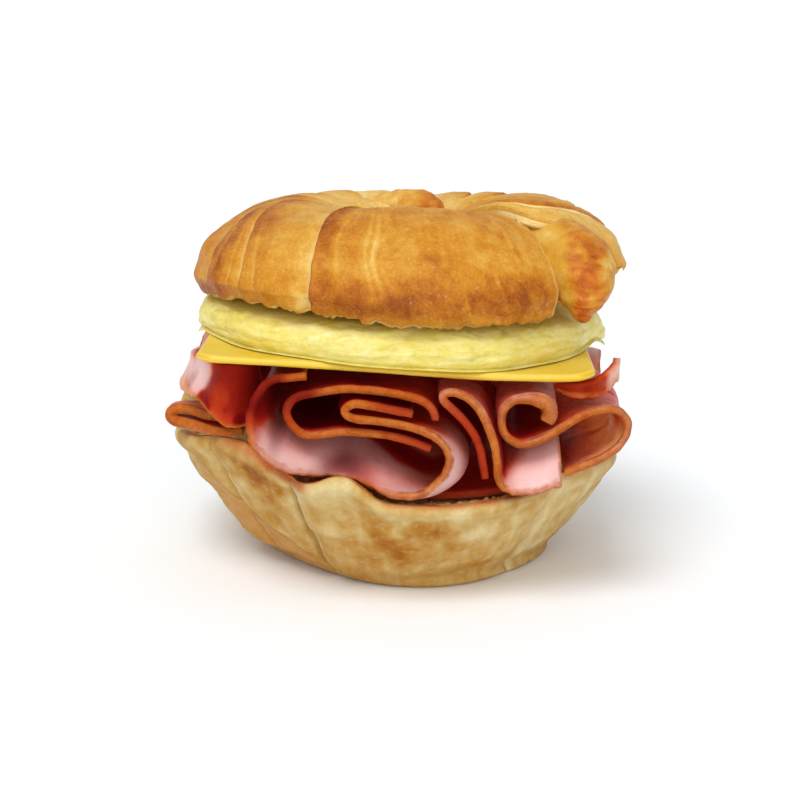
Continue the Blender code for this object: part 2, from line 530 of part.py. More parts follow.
def ham_sway(x, y, z):
    """Slow waves of the whole pile, away from the front edges, the cheese and the heel."""
    inward = np.clip((y + 36.0) / 20.0, 0.0, 1.0)
    middle = np.clip((z - 24.0) / 8.0, 0.0, 1.0) * np.clip((52.0 - 0.05 * x - z) / 6.0, 0.0, 1.0)
    sway_x = 1.5 * np.sin(y / 13.0 + z / 14.0) * inward * middle
    sway_z = 0.8 * np.sin(y / 11.0 + x / 15.0 + 1.0) * inward * middle
    return x + sway_x, z + sway_z


def ham_sheet(points, front, back, facing, count, depths):
    """Middle surface of a ham slice as a grid of x, y, z."""
    turn = np.radians(facing)
    path = smooth_path(points, count)
    full = 1.0 - np.exp(-14.0 / HAM_LEAN_DEPTH)
    grid = np.zeros((len(depths), count, 3))
    for j, share in enumerate(depths):
        first = front + path[:, 4]
        last = back - path[:, 4]
        y = first + share * (last - first)
        behind = y - first
        ahead = last - y
        lean = (1.0 - np.exp(-behind / HAM_LEAN_DEPTH)) / full
        lean = lean - 0.5 * np.exp(-ahead / HAM_LEAN_DEPTH)
        x = path[:, 0] + path[:, 2] * lean
        z = path[:, 1] + path[:, 3] * lean
        if facing == 0:
            x, z = ham_sway(x, y, z)
        grid[j] = np.column_stack([x * np.cos(turn) - y * np.sin(turn),
                                   x * np.sin(turn) + y * np.cos(turn), z])
    return grid


def thick_sheet(name, grid, skin):
    """Closed slice of ham with its thickness spread on both sides of a middle surface."""
    along = np.gradient(grid, axis=1)
    into = np.gradient(grid, axis=0)
    normal = np.cross(along, into)
    normal /= np.linalg.norm(normal, axis=2, keepdims=True)
    upper = (grid + normal * HAM_THICKNESS / 2.0).reshape(-1, 3)
    lower = (grid - normal * HAM_THICKNESS / 2.0).reshape(-1, 3)
    vertices = [tuple(v) for v in upper] + [tuple(v) for v in lower]
    rows, count = grid.shape[:2]
    layer = rows * count
    faces = []
    for j in range(rows - 1):
        for i in range(count - 1):
            a = j * count + i
            quad = (a, a + 1, a + count + 1, a + count)
            faces.append(quad)
            faces.append(tuple(layer + k for k in reversed(quad)))
    far = (rows - 1) * count
    for i in range(count - 1):
        faces.append((i + 1, i, layer + i, layer + i + 1))
        faces.append((far + i, far + i + 1, layer + far + i + 1, layer + far + i))
    for j in range(rows - 1):
        a = j * count
        b = (j + 1) * count
        faces.append((a, b, layer + b, layer + a))
        faces.append((b + count - 1, a + count - 1, layer + a + count - 1, layer + b + count - 1))
    ham = solid(name, vertices, faces)
    ham.data.materials.append(skin)


def ham_slice(name, points, front, back, facing, skin):
    count = max(8, int(path_length(points) / HAM_STEP) + 1)
    depths = [0.0, 0.07, 0.2, 0.45, 0.75, 0.93, 1.0]
    if back - front < 30:
        depths = [0.0, 0.15, 0.4, 0.75, 1.0]
    thick_sheet(name, ham_sheet(points, front, back, facing, count, depths), skin)


def ham_wall_sheet(points, count, rows):
    """Middle surface of a slice that hangs down, as a grid of x, y, z."""
    path = smooth_path(points, count)
    grid = np.zeros((rows, count, 3))
    for j, share in enumerate(np.linspace(0.0, 1.0, rows)):
        grid[j, :, 0] = path[:, 0] + path[:, 4] * (1.0 - share) ** 1.5
        grid[j, :, 1] = path[:, 1] + 0.8 * np.sin(4.0 * share)
        grid[j, :, 2] = path[:, 2] + share * (path[:, 3] - path[:, 2])
    return grid


def ham_hanging(name, points, skin):
    count = max(8, int(path_length(points) / HAM_HANGING_STEP) + 1)
    thick_sheet(name, ham_wall_sheet(points, count, HAM_HANGING_ROWS), skin)


def main():
    clear_scene()
    crust = material("crust_golden", (0.56, 0.27, 0.07), 0.45)
    heel_crust = material("crust_pale", (0.62, 0.42, 0.20), 0.6)
    egg = material("egg", (0.87, 0.80, 0.33), 0.55)
    cheese = material("cheese", (0.87, 0.58, 0.07), 0.35)
    ham = material("ham", (0.62, 0.20, 0.17), 0.35)
    croissant_bottom(heel_crust)
    for name, points, front, back, facing in HAM_SLICES:
        ham_slice(name, points, front, back, facing, ham)
    for name, points in HAM_HANGINGS:
        ham_hanging(name, points, ham)
    cheese_slice(cheese)
    egg_patty(egg)
    croissant_top(crust)


main()
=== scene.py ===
"""Ham and cheese croissant: the fine surfaces, materials, light and camera.

Lengths are millimetres until a mesh is made. The outlines are those of the solids; what is
added is the flaky skin, the rims and creases, and the colours.
"""
import math
import bpy
import numpy as np
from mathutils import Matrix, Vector


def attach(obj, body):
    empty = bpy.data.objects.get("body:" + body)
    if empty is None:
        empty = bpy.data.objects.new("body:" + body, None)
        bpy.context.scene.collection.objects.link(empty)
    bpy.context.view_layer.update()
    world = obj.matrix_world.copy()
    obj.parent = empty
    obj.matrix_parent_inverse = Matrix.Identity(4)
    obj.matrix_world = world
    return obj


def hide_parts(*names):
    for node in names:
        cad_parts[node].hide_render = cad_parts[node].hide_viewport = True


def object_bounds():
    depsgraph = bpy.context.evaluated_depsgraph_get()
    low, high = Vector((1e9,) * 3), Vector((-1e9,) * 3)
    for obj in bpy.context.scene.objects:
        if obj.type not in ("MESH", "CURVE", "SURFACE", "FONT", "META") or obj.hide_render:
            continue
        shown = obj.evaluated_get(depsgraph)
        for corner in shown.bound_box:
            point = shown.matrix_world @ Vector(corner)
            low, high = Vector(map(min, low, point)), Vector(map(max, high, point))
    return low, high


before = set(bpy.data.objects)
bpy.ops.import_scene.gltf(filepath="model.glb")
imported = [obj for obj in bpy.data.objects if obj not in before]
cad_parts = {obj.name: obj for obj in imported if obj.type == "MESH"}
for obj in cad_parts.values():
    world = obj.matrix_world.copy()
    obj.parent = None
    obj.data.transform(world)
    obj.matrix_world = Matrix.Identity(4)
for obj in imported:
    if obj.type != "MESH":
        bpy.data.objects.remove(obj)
CAD_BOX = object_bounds()

MM = 0.001
# The skins stay this far inside the box of the solids, and points this low lie on the floor
BOX_INSET = 0.02
FLOOR_SNAP = 0.021
# Spacing of the finest points: degrees round the bread, and mm along a slice of ham
RING_STEP = 0.5
SLICE_STEP = 0.5

# Croissant top: a closed ring with a dimple in the middle. Tables in braces go round it,
# from an angle in degrees to a value.
CROWN_PIT_HEIGHT = 77.0
CROWN_FACE_HEIGHT = 65.9
CROWN_FACE_RISE = 0.016
CROWN_MIDDLE = (2.0, 0.0, 76.0)
CROWN_BULGE = {0: 1.2, 60: 1, 100: 0.6, 200: 0.45, 240: 0.5, 262: 0.8, 300: 0.8, 345: 1.2}
CROWN_STEP = {0: 0.8, 60: 0.7, 100: 0.45, 200: 0.35, 222: 0.4, 243: 0.9, 312: 0.9, 345: 1}
CROWN_RADIUS = {0: 51.6, 30: 51.5, 60: 50.2, 90: 49.3, 120: 49.8, 150: 51, 180: 51.3, 200: 51.4, 215: 51,
    246: 49.8, 270: 49.3, 300: 50, 312: 49.5, 322: 44, 336: 44, 345: 51.2}
CROWN_RIDGE = {0: 87.8, 20: 88, 40: 87.4, 60: 86.4, 80: 85.6, 100: 85.1, 120: 85.3, 150: 86.1, 180: 86.7,
    210: 87.2, 237: 87.4, 262: 87.8, 284: 87.6, 300: 86.9, 311: 86.3, 318: 83.2, 336: 83.5, 345: 86.6}
CROWN_LIP = {0: 69.3, 30: 68.3, 60: 67.5, 90: 67, 120: 66.5, 150: 65.4, 180: 64.6, 195: 66, 215: 68,
    246: 67, 262: 65.5, 270: 64.8, 290: 64.8, 312: 64.4, 322: 67, 345: 69.5}
CROWN_SEAMS = [8, 27, 60, 82, 104, 126, 147, 168, 187, 204, 221, 243.5, 312, 345]
CROWN_WRAP = (243.5, 312)
# How far each seam has turned back by the time it is well inside the outer edge
CROWN_TWIST = {8: 41, 27: 50, 60: 28, 82: 28, 180: 28, 204: 20, 221: 32, 243.5: 5, 265: 0, 300: -2,
    312: -4, 345: 27}
CROWN_TWIST_WIDTH = {8: 20, 27: 22, 221: 22, 243.5: 16, 312: 12, 345: 13}
CROWN_TWIST_CURVE = 1.3
# Profile: share of the radius and share of the height, from the dimple outwards
CROWN_INSIDE = [(0.08, 0.05), (0.18, 0.25), (0.3, 0.62), (0.42, 0.9)]
CROWN_OUTSIDE = [(0.55, 1), (0.66, 0.948), (0.765, 0.849), (0.838, 0.72), (0.911, 0.552), (0.956, 0.407),
    (0.983, 0.186), (1, 0)]
# How brown each segment of the crown is, from 0 (cream) to 1 (dark), in the order of its seams
CROWN_TONES = [0.44, 0.44, 0.4, 0.38, 0.3, 0.3, 0.36, 0.46, 0.66, 0.72, 0.56, 0.56, 0.24, 0.32]
# Browner and paler places: angle, profile row, half width in degrees and in rows, strength
CROWN_PATCHES = [(266, 12, 3.5, 1, 0.22), (274, 11.2, 4, 0.8, 0.16), (288, 11.4, 4.2, 1.2, 0.19),
    (297.5, 11.6, 4.8, 1.3, 0.17), (304, 10.8, 2.4, 0.6, 0.14), (252, 12.2, 6, 0.8, 0.1),
    (260, 12.6, 5, 0.7, 0.08), (294, 7.2, 3, 0.8, 0.2), (299, 7.6, 1.6, 0.6, 0.16),
    (279, 9.6, 6, 1.2, 0.08), (247.5, 8.6, 1.8, 1.8, 0.14), (270, 6.1, 12, 0.6, -0.04),
    (228, 6.9, 5, 0.8, 0.14), (232, 12.6, 5, 0.8, 0.12), (210, 10.6, 2.6, 1.2, 0.16),
    (213, 8.2, 3, 1, 0.14), (199, 13.4, 9, 0.8, 0.45), (289, 9.3, 3, 0.7, -0.16),
    (297, 9.8, 2.6, 0.7, -0.18), (262, 9.5, 2, 1.6, -0.12), (241.5, 13, 1.6, 1.2, -0.35),
    (225, 9.8, 5, 1.6, -0.06), (305, 9.4, 2.5, 0.9, -0.1)]
# Pale wrinkles that run down the crown: angle at the top, angle at the foot, first and last row
CROWN_WRINKLES = [(257.4, 261.2, 5.6, 11.6), (260.2, 263.4, 6, 11.2), (249.4, 250.6, 6, 10.4),
    (293.2, 294.2, 10, 12.6), (299.5, 300.8, 6.4, 9.4), (225.2, 226.4, 8, 12), (215.6, 217, 6.6, 12.4),
    (209, 208, 7, 11), (284.8, 285.4, 11, 12.2)]

# Croissant horn: the baked tip that noses down at the front right, as x, y, z and radius
HORN_PATH = [(24, -8, 74.5, 10.5), (33, -16, 75.2, 10.5), (39, -23, 74.6, 9.7), (41.2, -28.5, 71.8, 8),
    (41.4, -32, 67.9, 5.4), (41.2, -33.3, 65, 2.5)]
# Small browned tip of the roll that lies over the back of the dimple
TIP_PATH = [(-8, 21, 81.5, 3.6), (0, 17.5, 83.2, 4.2), (5.5, 15, 83.7, 3.9), (9, 13, 83.2, 2.6)]

# Croissant bottom: a bowl with a flat base
HEEL_FOOT = {0: 35, 20: 36, 60: 36, 120: 36, 160: 34, 182: 30, 203: 26.5, 225: 25.8, 245: 27.3, 258: 29.5,
    270: 31.2, 285: 32.8, 300: 33, 315: 32.4, 335: 33.6, 352: 35}
HEEL_MIDDLE = (0.0, 0.0, 12.0)
HEEL_FACE_HEIGHT = 22.0
HEEL_BULGE = 0.9
HEEL_RADIUS = {0: 54, 30: 53.5, 60: 52, 90: 51.5, 120: 53, 150: 57, 160: 59.5, 170: 57.8, 180: 56.3,
    207: 55.4, 225: 53, 237: 52, 246: 53.8, 255: 53.8, 264: 51.8, 270: 51.6, 290: 52, 316: 52.3, 338: 53.4,
    350: 54}
HEEL_RIM = {0: 26.2, 30: 28, 60: 26, 90: 25, 120: 27, 150: 34, 160: 36.5, 172: 33, 182: 31.5, 195: 33.4,
    207: 34.6, 218: 36.6, 227: 37, 232: 34, 240: 29.6, 246: 29.4, 249: 30, 253: 32, 257: 32.3, 261: 29.2,
    265: 25.8, 280: 24.8, 295: 25, 307: 25.6, 320: 27.8, 338: 27.2, 350: 26.4}
HEEL_SEAMS = [18, 58, 97, 138, 178, 213, 239.5, 318]
HEEL_NOTCH = [1, 1, 1, 1, 1, 1.2, 3.2, 2.2]
# Profile: share of the height, then the share of the radius at the left and at the right
HEEL_PROFILE = [(0.0, 0.55, 0.60), (0.11, 0.63, 0.685), (0.22, 0.705, 0.735), (0.34, 0.755, 0.785),
    (0.48, 0.815, 0.832), (0.62, 0.872, 0.876), (0.80, 0.932, 0.935), (0.92, 0.975, 0.975),
    (1.0, 0.965, 0.965)]
HEEL_INSIDE = [(0.93, 0.9), (0.87, 0.45), (0.78, 0.08), (0.55, 0), (0.28, 0)]
# Browner and paler places, as for the crown
HEEL_PATCHES = [(229, 8.1, 5, 1, 0.44), (223, 7.9, 4, 0.8, 0.34), (232, 9, 4, 0.9, 0.3),
    (216, 7.6, 3, 0.8, 0.12), (218, 9.4, 6, 1.2, -0.12), (210, 8.6, 4, 1.2, -0.12),
    (250, 6.8, 9, 0.8, -0.22), (258, 7.2, 7, 0.8, -0.18), (246, 9, 5, 2, -0.06), (262, 8.6, 5, 0.9, 0.18),
    (268, 9.8, 4.5, 1, 0.44), (272, 10.5, 4, 0.7, 0.36), (275, 8.3, 5, 0.7, 0.36),
    (281, 8.7, 4, 0.6, 0.34), (286, 9.8, 3.5, 0.8, 0.42), (279, 10.2, 4, 0.6, 0.16),
    (284, 7.4, 6, 0.6, -0.2), (292, 8.5, 6, 0.9, -0.22), (299, 8.5, 1.4, 1.2, 0.16),
    (298, 11.6, 3, 0.9, 0.18), (306, 9.4, 5, 1.4, -0.06), (272, 11.8, 16, 0.8, 0.08),
    (330, 8, 12, 2, -0.1), (255, 10.4, 3, 1, 0.1), (303, 6.9, 7, 0.35, 0.22)]

# Egg patty
EGG_MIDDLE = (0.0, 0.0, 59.0)
EGG_RADIUS_X = 49.3
EGG_RADIUS_Y = 47.3
EGG_DROOP = 3.8
EGG_DROOP_START = 45.8
EGG_TOP = 64.2
EGG_TOP_FALL = 0.035
EGG_GAP = 0.15
# Profile: share of the radius and share of the height
EGG_PROFILE = [(0.0, 1.0), (0.45, 1.0), (0.80, 0.99), (0.92, 0.93), (0.975, 0.78), (1.0, 0.52),
    (0.997, 0.24), (0.975, 0.05), (0.92, 0.0), (0.0, 0.0)]

# Cheese slice
CHEESE_SIDE = 89.0
CHEESE_THICKNESS = 1.8
CHEESE_CORNER = 4.5
# Height of its top along x: it falls to the right and lifts again at the right edge
CHEESE_TOP = [(-60, 58.9), (-46, 58), (-37, 57.5), (-22, 56.7), (-7, 55.7), (11, 54.5), (22, 54),
    (29, 53.85), (36, 53.85), (41, 54.2), (46, 54.9), (60, 57)]
CHEESE_TURN = np.radians(-1.4)

# Ham slices: the front edge as x, z, then how far the sheet moves in x and z behind that
# edge, then how far this part of the edge lies behind the front; what is left out is 0
HAM_THICKNESS = 1.8
HAM_LEAN_DEPTH = 6.0
HAM_SWOOP = [(-20.5, 53.3, -0.5, -0.3, 6), (-24.5, 52.8, -0.5, -0.3, 6), (-27.7, 52.6, 0, -0.5, 6),
    (-30.6, 50.8, 1, -1, 4), (-33, 46, 3.6, -1, 1), (-32.3, 39.5, 3.6, 1.6), (-27, 34.3, 2, 3.6),
    (-21, 31.9, 1, 3.8, 2.8), (-14, 30.1, 0.5, 4.6, 6.6), (-8, 29.3, 0, 5, 4), (-2, 27.8, 1, 2),
    (4, 28.3, 3, -2.2), (8.5, 31.8, 4.5, -3), (10.3, 36, 4.5, -3), (9, 39.7, 3.5, -2.3),
    (5.5, 42, 2, -1.5, 1), (0, 43.4, 0.5, -1, 2), (-6.5, 44.3, -0.2, -0.5, 2),
    (-10.5, 44.9, -0.8, -0.5, 2), (-12, 46.5, -1, -0.5, 2), (-10, 48, -0.5, -0.5, 2),
    (-6, 47.6, 0, -0.5, 2), (-1.5, 46.7, 0, -0.5, 2), (2.8, 45.7, 0, -0.5, 2)]
HAM_LOOP = [(6.8, 37.5, 0.3, -1), (-0.7, 40, 0, -0.8), (-10.6, 41.2, -0.4, -0.3), (-17, 40.5, -0.6, -0.1),
    (-21, 40.6, -0.8, -0.1), (-23.7, 42.9, -1, -0.8), (-24.8, 46, -1.2, -0.8), (-23, 49, -1, -1.5),
    (-18.5, 50.2, -1, -1.5), (-12, 51, -0.4, -0.8), (-5.5, 50.6, -0.2, -0.8), (0, 49.7, 0, -0.8),
    (4.6, 48.4, 0, -0.8), (6.8, 46.8, 0, -0.8), (7.7, 45, 0, -0.8), (7.8, 43.9, 0, -0.8)]
HAM_HAIRPIN = [(18.8, 30.5, 0.3, -1, 3), (18.3, 34, 0.2, -1, 3), (17.2, 39, 0, -1, 3),
    (14.3, 43.6, 0, -0.8, 2.5), (11.4, 47, 0, -0.8, 1), (9.5, 49.2, 0, -1.2), (9.6, 50.6, 0, -1.6),
    (11.2, 51, 0.6, -1.8), (13, 50.6, 1, -1.8), (15.2, 49.2, 1, -1.4), (17.3, 46.8, 1, -1),
    (19, 43.5, 0.8, -0.8), (20.6, 39, 1.2, -1), (21.2, 35, 1.4, -1), (21.5, 31.5, 1.6, 0.5),
    (22.8, 28.8, 1.8, 4), (25.5, 27.7, 1.4, 7.6), (29, 27.8, 1.2, 8.2), (32.5, 28.4, 0.8, 8.9),
    (35.5, 29, 0.4, 9.2, 1)]
HAM_ROLL = [(32.2, 43.4, 0.6, -0.5, 1), (33, 45.6, 1, -0.7, 0.5), (32.2, 47.8, 1, -0.7), (30, 49, 0.3, -1),
    (27.5, 49.2, -0.3, -1.2), (24.9, 48.6, -0.8, -1.2), (22.8, 46.5, -0.3, -1), (22.3, 43.6, 0.4, -1),
    (23, 41, 0.8, -0.5), (25.5, 38.9, 1), (29, 38.9, 1, 0.4), (33, 40.8, 1.2, 0.4), (36.2, 43, 1.3, -0.2),
    (39.2, 45, 1.4, -1), (42, 46.2, 1.5, -1.5), (44.6, 46.8, 1.2, -2), (47, 46.6, 0.7, -2.4, 1),
    (49.2, 45.4, -0.3, -2.4, 2), (50.6, 43, -1, -2, 3), (50.2, 40.2, -0.8, -1.6, 3),
    (48.5, 37.8, -0.2, -1.2, 2), (45.5, 35.9, 0.5, -1, 1), (41.5, 34.3, 0.6, -1), (38.6, 33.1, 0.4, -1),
    (36.5, 32.2, 0.4, -1)]
HAM_NUB = [(-35.5, 38.4, -0.5, -0.3), (-39.5, 38, -0.5, -0.5, 0.5), (-43.5, 37.7, -0.8, -0.8, 3),
    (-47, 37.2, -1, -1, 7), (-50.5, 36.8, -1, -1.4, 10.5), (-53.4, 36.8, -1, -1.6, 12),
    (-55.1, 38.1, -0.8, -1.6, 12.5), (-54.7, 39.8, -0.8, -1.6, 12.5), (-52.4, 40.5, -0.8, -1.6, 12.3),
    (-49, 40.5, -1, -1.4, 11), (-45, 40.3, -1, -1, 7.5), (-41.5, 40.4, -1, -0.6, 4.5)]
HAM_BED = [(-35, 35, 0, 0, 16), (-31, 32.8, 0, 0, 10), (-25, 30.7, 0, 0, 4), (-19, 29.3, 0, 0, 1),
    (-12, 28), (-6, 26.2), (0, 24.3), (7, 23.5), (14, 23.7), (21, 24, 0, 0, 1), (28, 24.8, 0, 0, 4),
    (34, 26.4, 0, 0, 8), (38, 28, 0, 0, 13)]
HAM_SIDE_RIGHT = [(4, 31.5), (10, 30.2), (17, 30.5, 0, 0.5), (22, 33.5, 0.5), (21, 37.5, 0.5),
    (15, 39, 0, -0.5), (8, 38.5, 0, -0.5, 1), (4.5, 41.5, -0.5, 0, 1), (6, 45.3, -0.5, 0, 1),
    (12, 46.6, 0, 0.5), (20, 45.6, 0, 0.5, 1), (27, 43, 0, 0, 3), (31, 39.5, 0, 0, 5)]
HAM_SIDE_LEFT = [(-10, 38.8, 0, 0, 1), (-16, 38.2), (-23, 39), (-28, 41.8, -0.5, 0, 1),
    (-26.5, 45.2, -0.5, 0, 1), (-20, 46, 0, -0.5), (-13, 44.8, 0.5), (-9.5, 47.2, 0.5),
    (-12, 50.2, 0, 0, 1), (-19, 51, 0, 0, 2), (-26, 50, 0, 0, 4)]
HAM_BACK_SWOOP = [(-33, 45.5, 0.5, -0.5, 4), (-35, 40.5, 1.5, 0, 2), (-31, 35.5, 1, 1),
    (-24, 32, 0.5, 1.5), (-15, 29.3, 0, 2), (-6, 28.3, 0, 1), (1, 29.8, 1, -1), (4.3, 33.5, 2),
    (2.5, 37.5, 1), (-4, 39, 0, 0, 1), (-12, 39, 0, 0, 1), (-19, 40.2, 0, 0, 2)]
HAM_BACK_LOOP = [(-6, 43, 0, 0, 1), (-14, 43.6), (-22, 44.6), (-27.5, 46.2, -0.5), (-25, 48.6),
    (-17, 48.4), (-8, 47.8), (0, 47.4, 0, 0, 1), (5.5, 44.5, 0, 0, 2)]
HAM_BACK_ROLL = [(9.5, 31, 0, 0, 1), (9, 36), (10, 42), (12.5, 47.3), (17, 49.2, 0, -0.5), (20.5, 46.5),
    (20.5, 40.5, 0.5), (20.8, 37), (23.5, 34, 0, 0, 1), (27, 34.2, 0, 0, 2), (30.5, 35.8, 0, 0, 4)]
HAM_BACK_FOLD = [(33, 39.5, 0, 0, 3), (28, 39, 0, 0, 2), (26.3, 42.5), (28.5, 46.5), (33, 48.2, 0, 0, 1),
    (34.5, 50.7, 0, 0, 1), (29, 51.4), (22.5, 51.2)]
# Slices that hang down under the cheese: x and y along the slice, its foot and its head, and
# how far the foot stands out in x
HAM_LEFT = [(-47.2, -12, 46.5, 53.4, -3.4), (-47.8, -20, 45.6, 54.2, -3.4), (-46.8, -28, 45.6, 55.2, -2.6),
    (-44.2, -34, 45.2, 55.4, -1.4), (-41.3, -38.3, 42.4, 55.4, -0.6), (-38.5, -40, 40.4, 55.3),
    (-35.8, -39.2, 39.9, 55.1), (-33.4, -37, 40.8, 55), (-32, -34, 42, 54.9)]
HAM_RIGHT = [(34.5, -39.8, 48.8, 51), (38, -42, 47.9, 51.1), (41.6, -42.2, 47.4, 51.5),
    (44.6, -40, 47.8, 52.2), (47, -36.8, 48.5, 53.2), (48.8, -33.5, 49.2, 54.2), (49.4, -29.5, 50.2, 54.4)]
HAM_WALL = [(-37, 14.6, 40.5, 54.9), (-33, 13.6, 37.6, 54.8), (-28, 12.3, 35.2, 54.5),
    (-18, 15, 32.2, 53.9), (-6, 12.5, 29.4, 53), (6, 15.5, 26, 52.2), (17, 12.5, 26, 51.6),
    (27, 15, 27.2, 51.3), (35, 13, 29.6, 51.3)]
# The foot of the wall hangs this much lower towards the left, so that no light shows through
HAM_WALL_DROP = [(-37, 3.8), (-33, 1.8), (-28, 1.0), (-20, 0.0)]
HAM_HANGING_ROWS = 40
# Distances from a cut edge at which a slice has a row of points
HAM_EDGE_STEPS = [0.0, 0.12, 0.3, 0.5, 0.75, 1.05, 1.4, 1.9, 2.5, 3.2, 4.2, 5.5, 7.0, 9.0]
HAM_HANGINGS = [("ham_left", HAM_LEFT), ("ham_right", HAM_RIGHT), ("ham_wall", HAM_WALL)]

# Each of the other slices: name, edge, where its front edge and its back edge lie, and which
# way it faces: 0 to the front, 90 to the right, 180 to the back and 270 to the left
HAM_SLICES = [
    ("ham_swoop", HAM_SWOOP, -51, 7, 0), ("ham_loop", HAM_LOOP, -47, 6, 0),
    ("ham_hairpin", HAM_HAIRPIN, -50, 8, 0), ("ham_roll", HAM_ROLL, -48, -2, 0),
    ("ham_nub", HAM_NUB, -36, -6, 0), ("ham_bed", HAM_BED, -36.5, 34.5, 0),
    ("ham_side_right", HAM_SIDE_RIGHT, -51, -40, 90), ("ham_side_left", HAM_SIDE_LEFT, -51, -38, 270),
    ("ham_back_swoop", HAM_BACK_SWOOP, -46, -19, 180), ("ham_back_loop", HAM_BACK_LOOP, -45, -19, 180),
    ("ham_back_roll", HAM_BACK_ROLL, -46, -19, 180), ("ham_back_fold", HAM_BACK_FOLD, -40, -19, 180)]

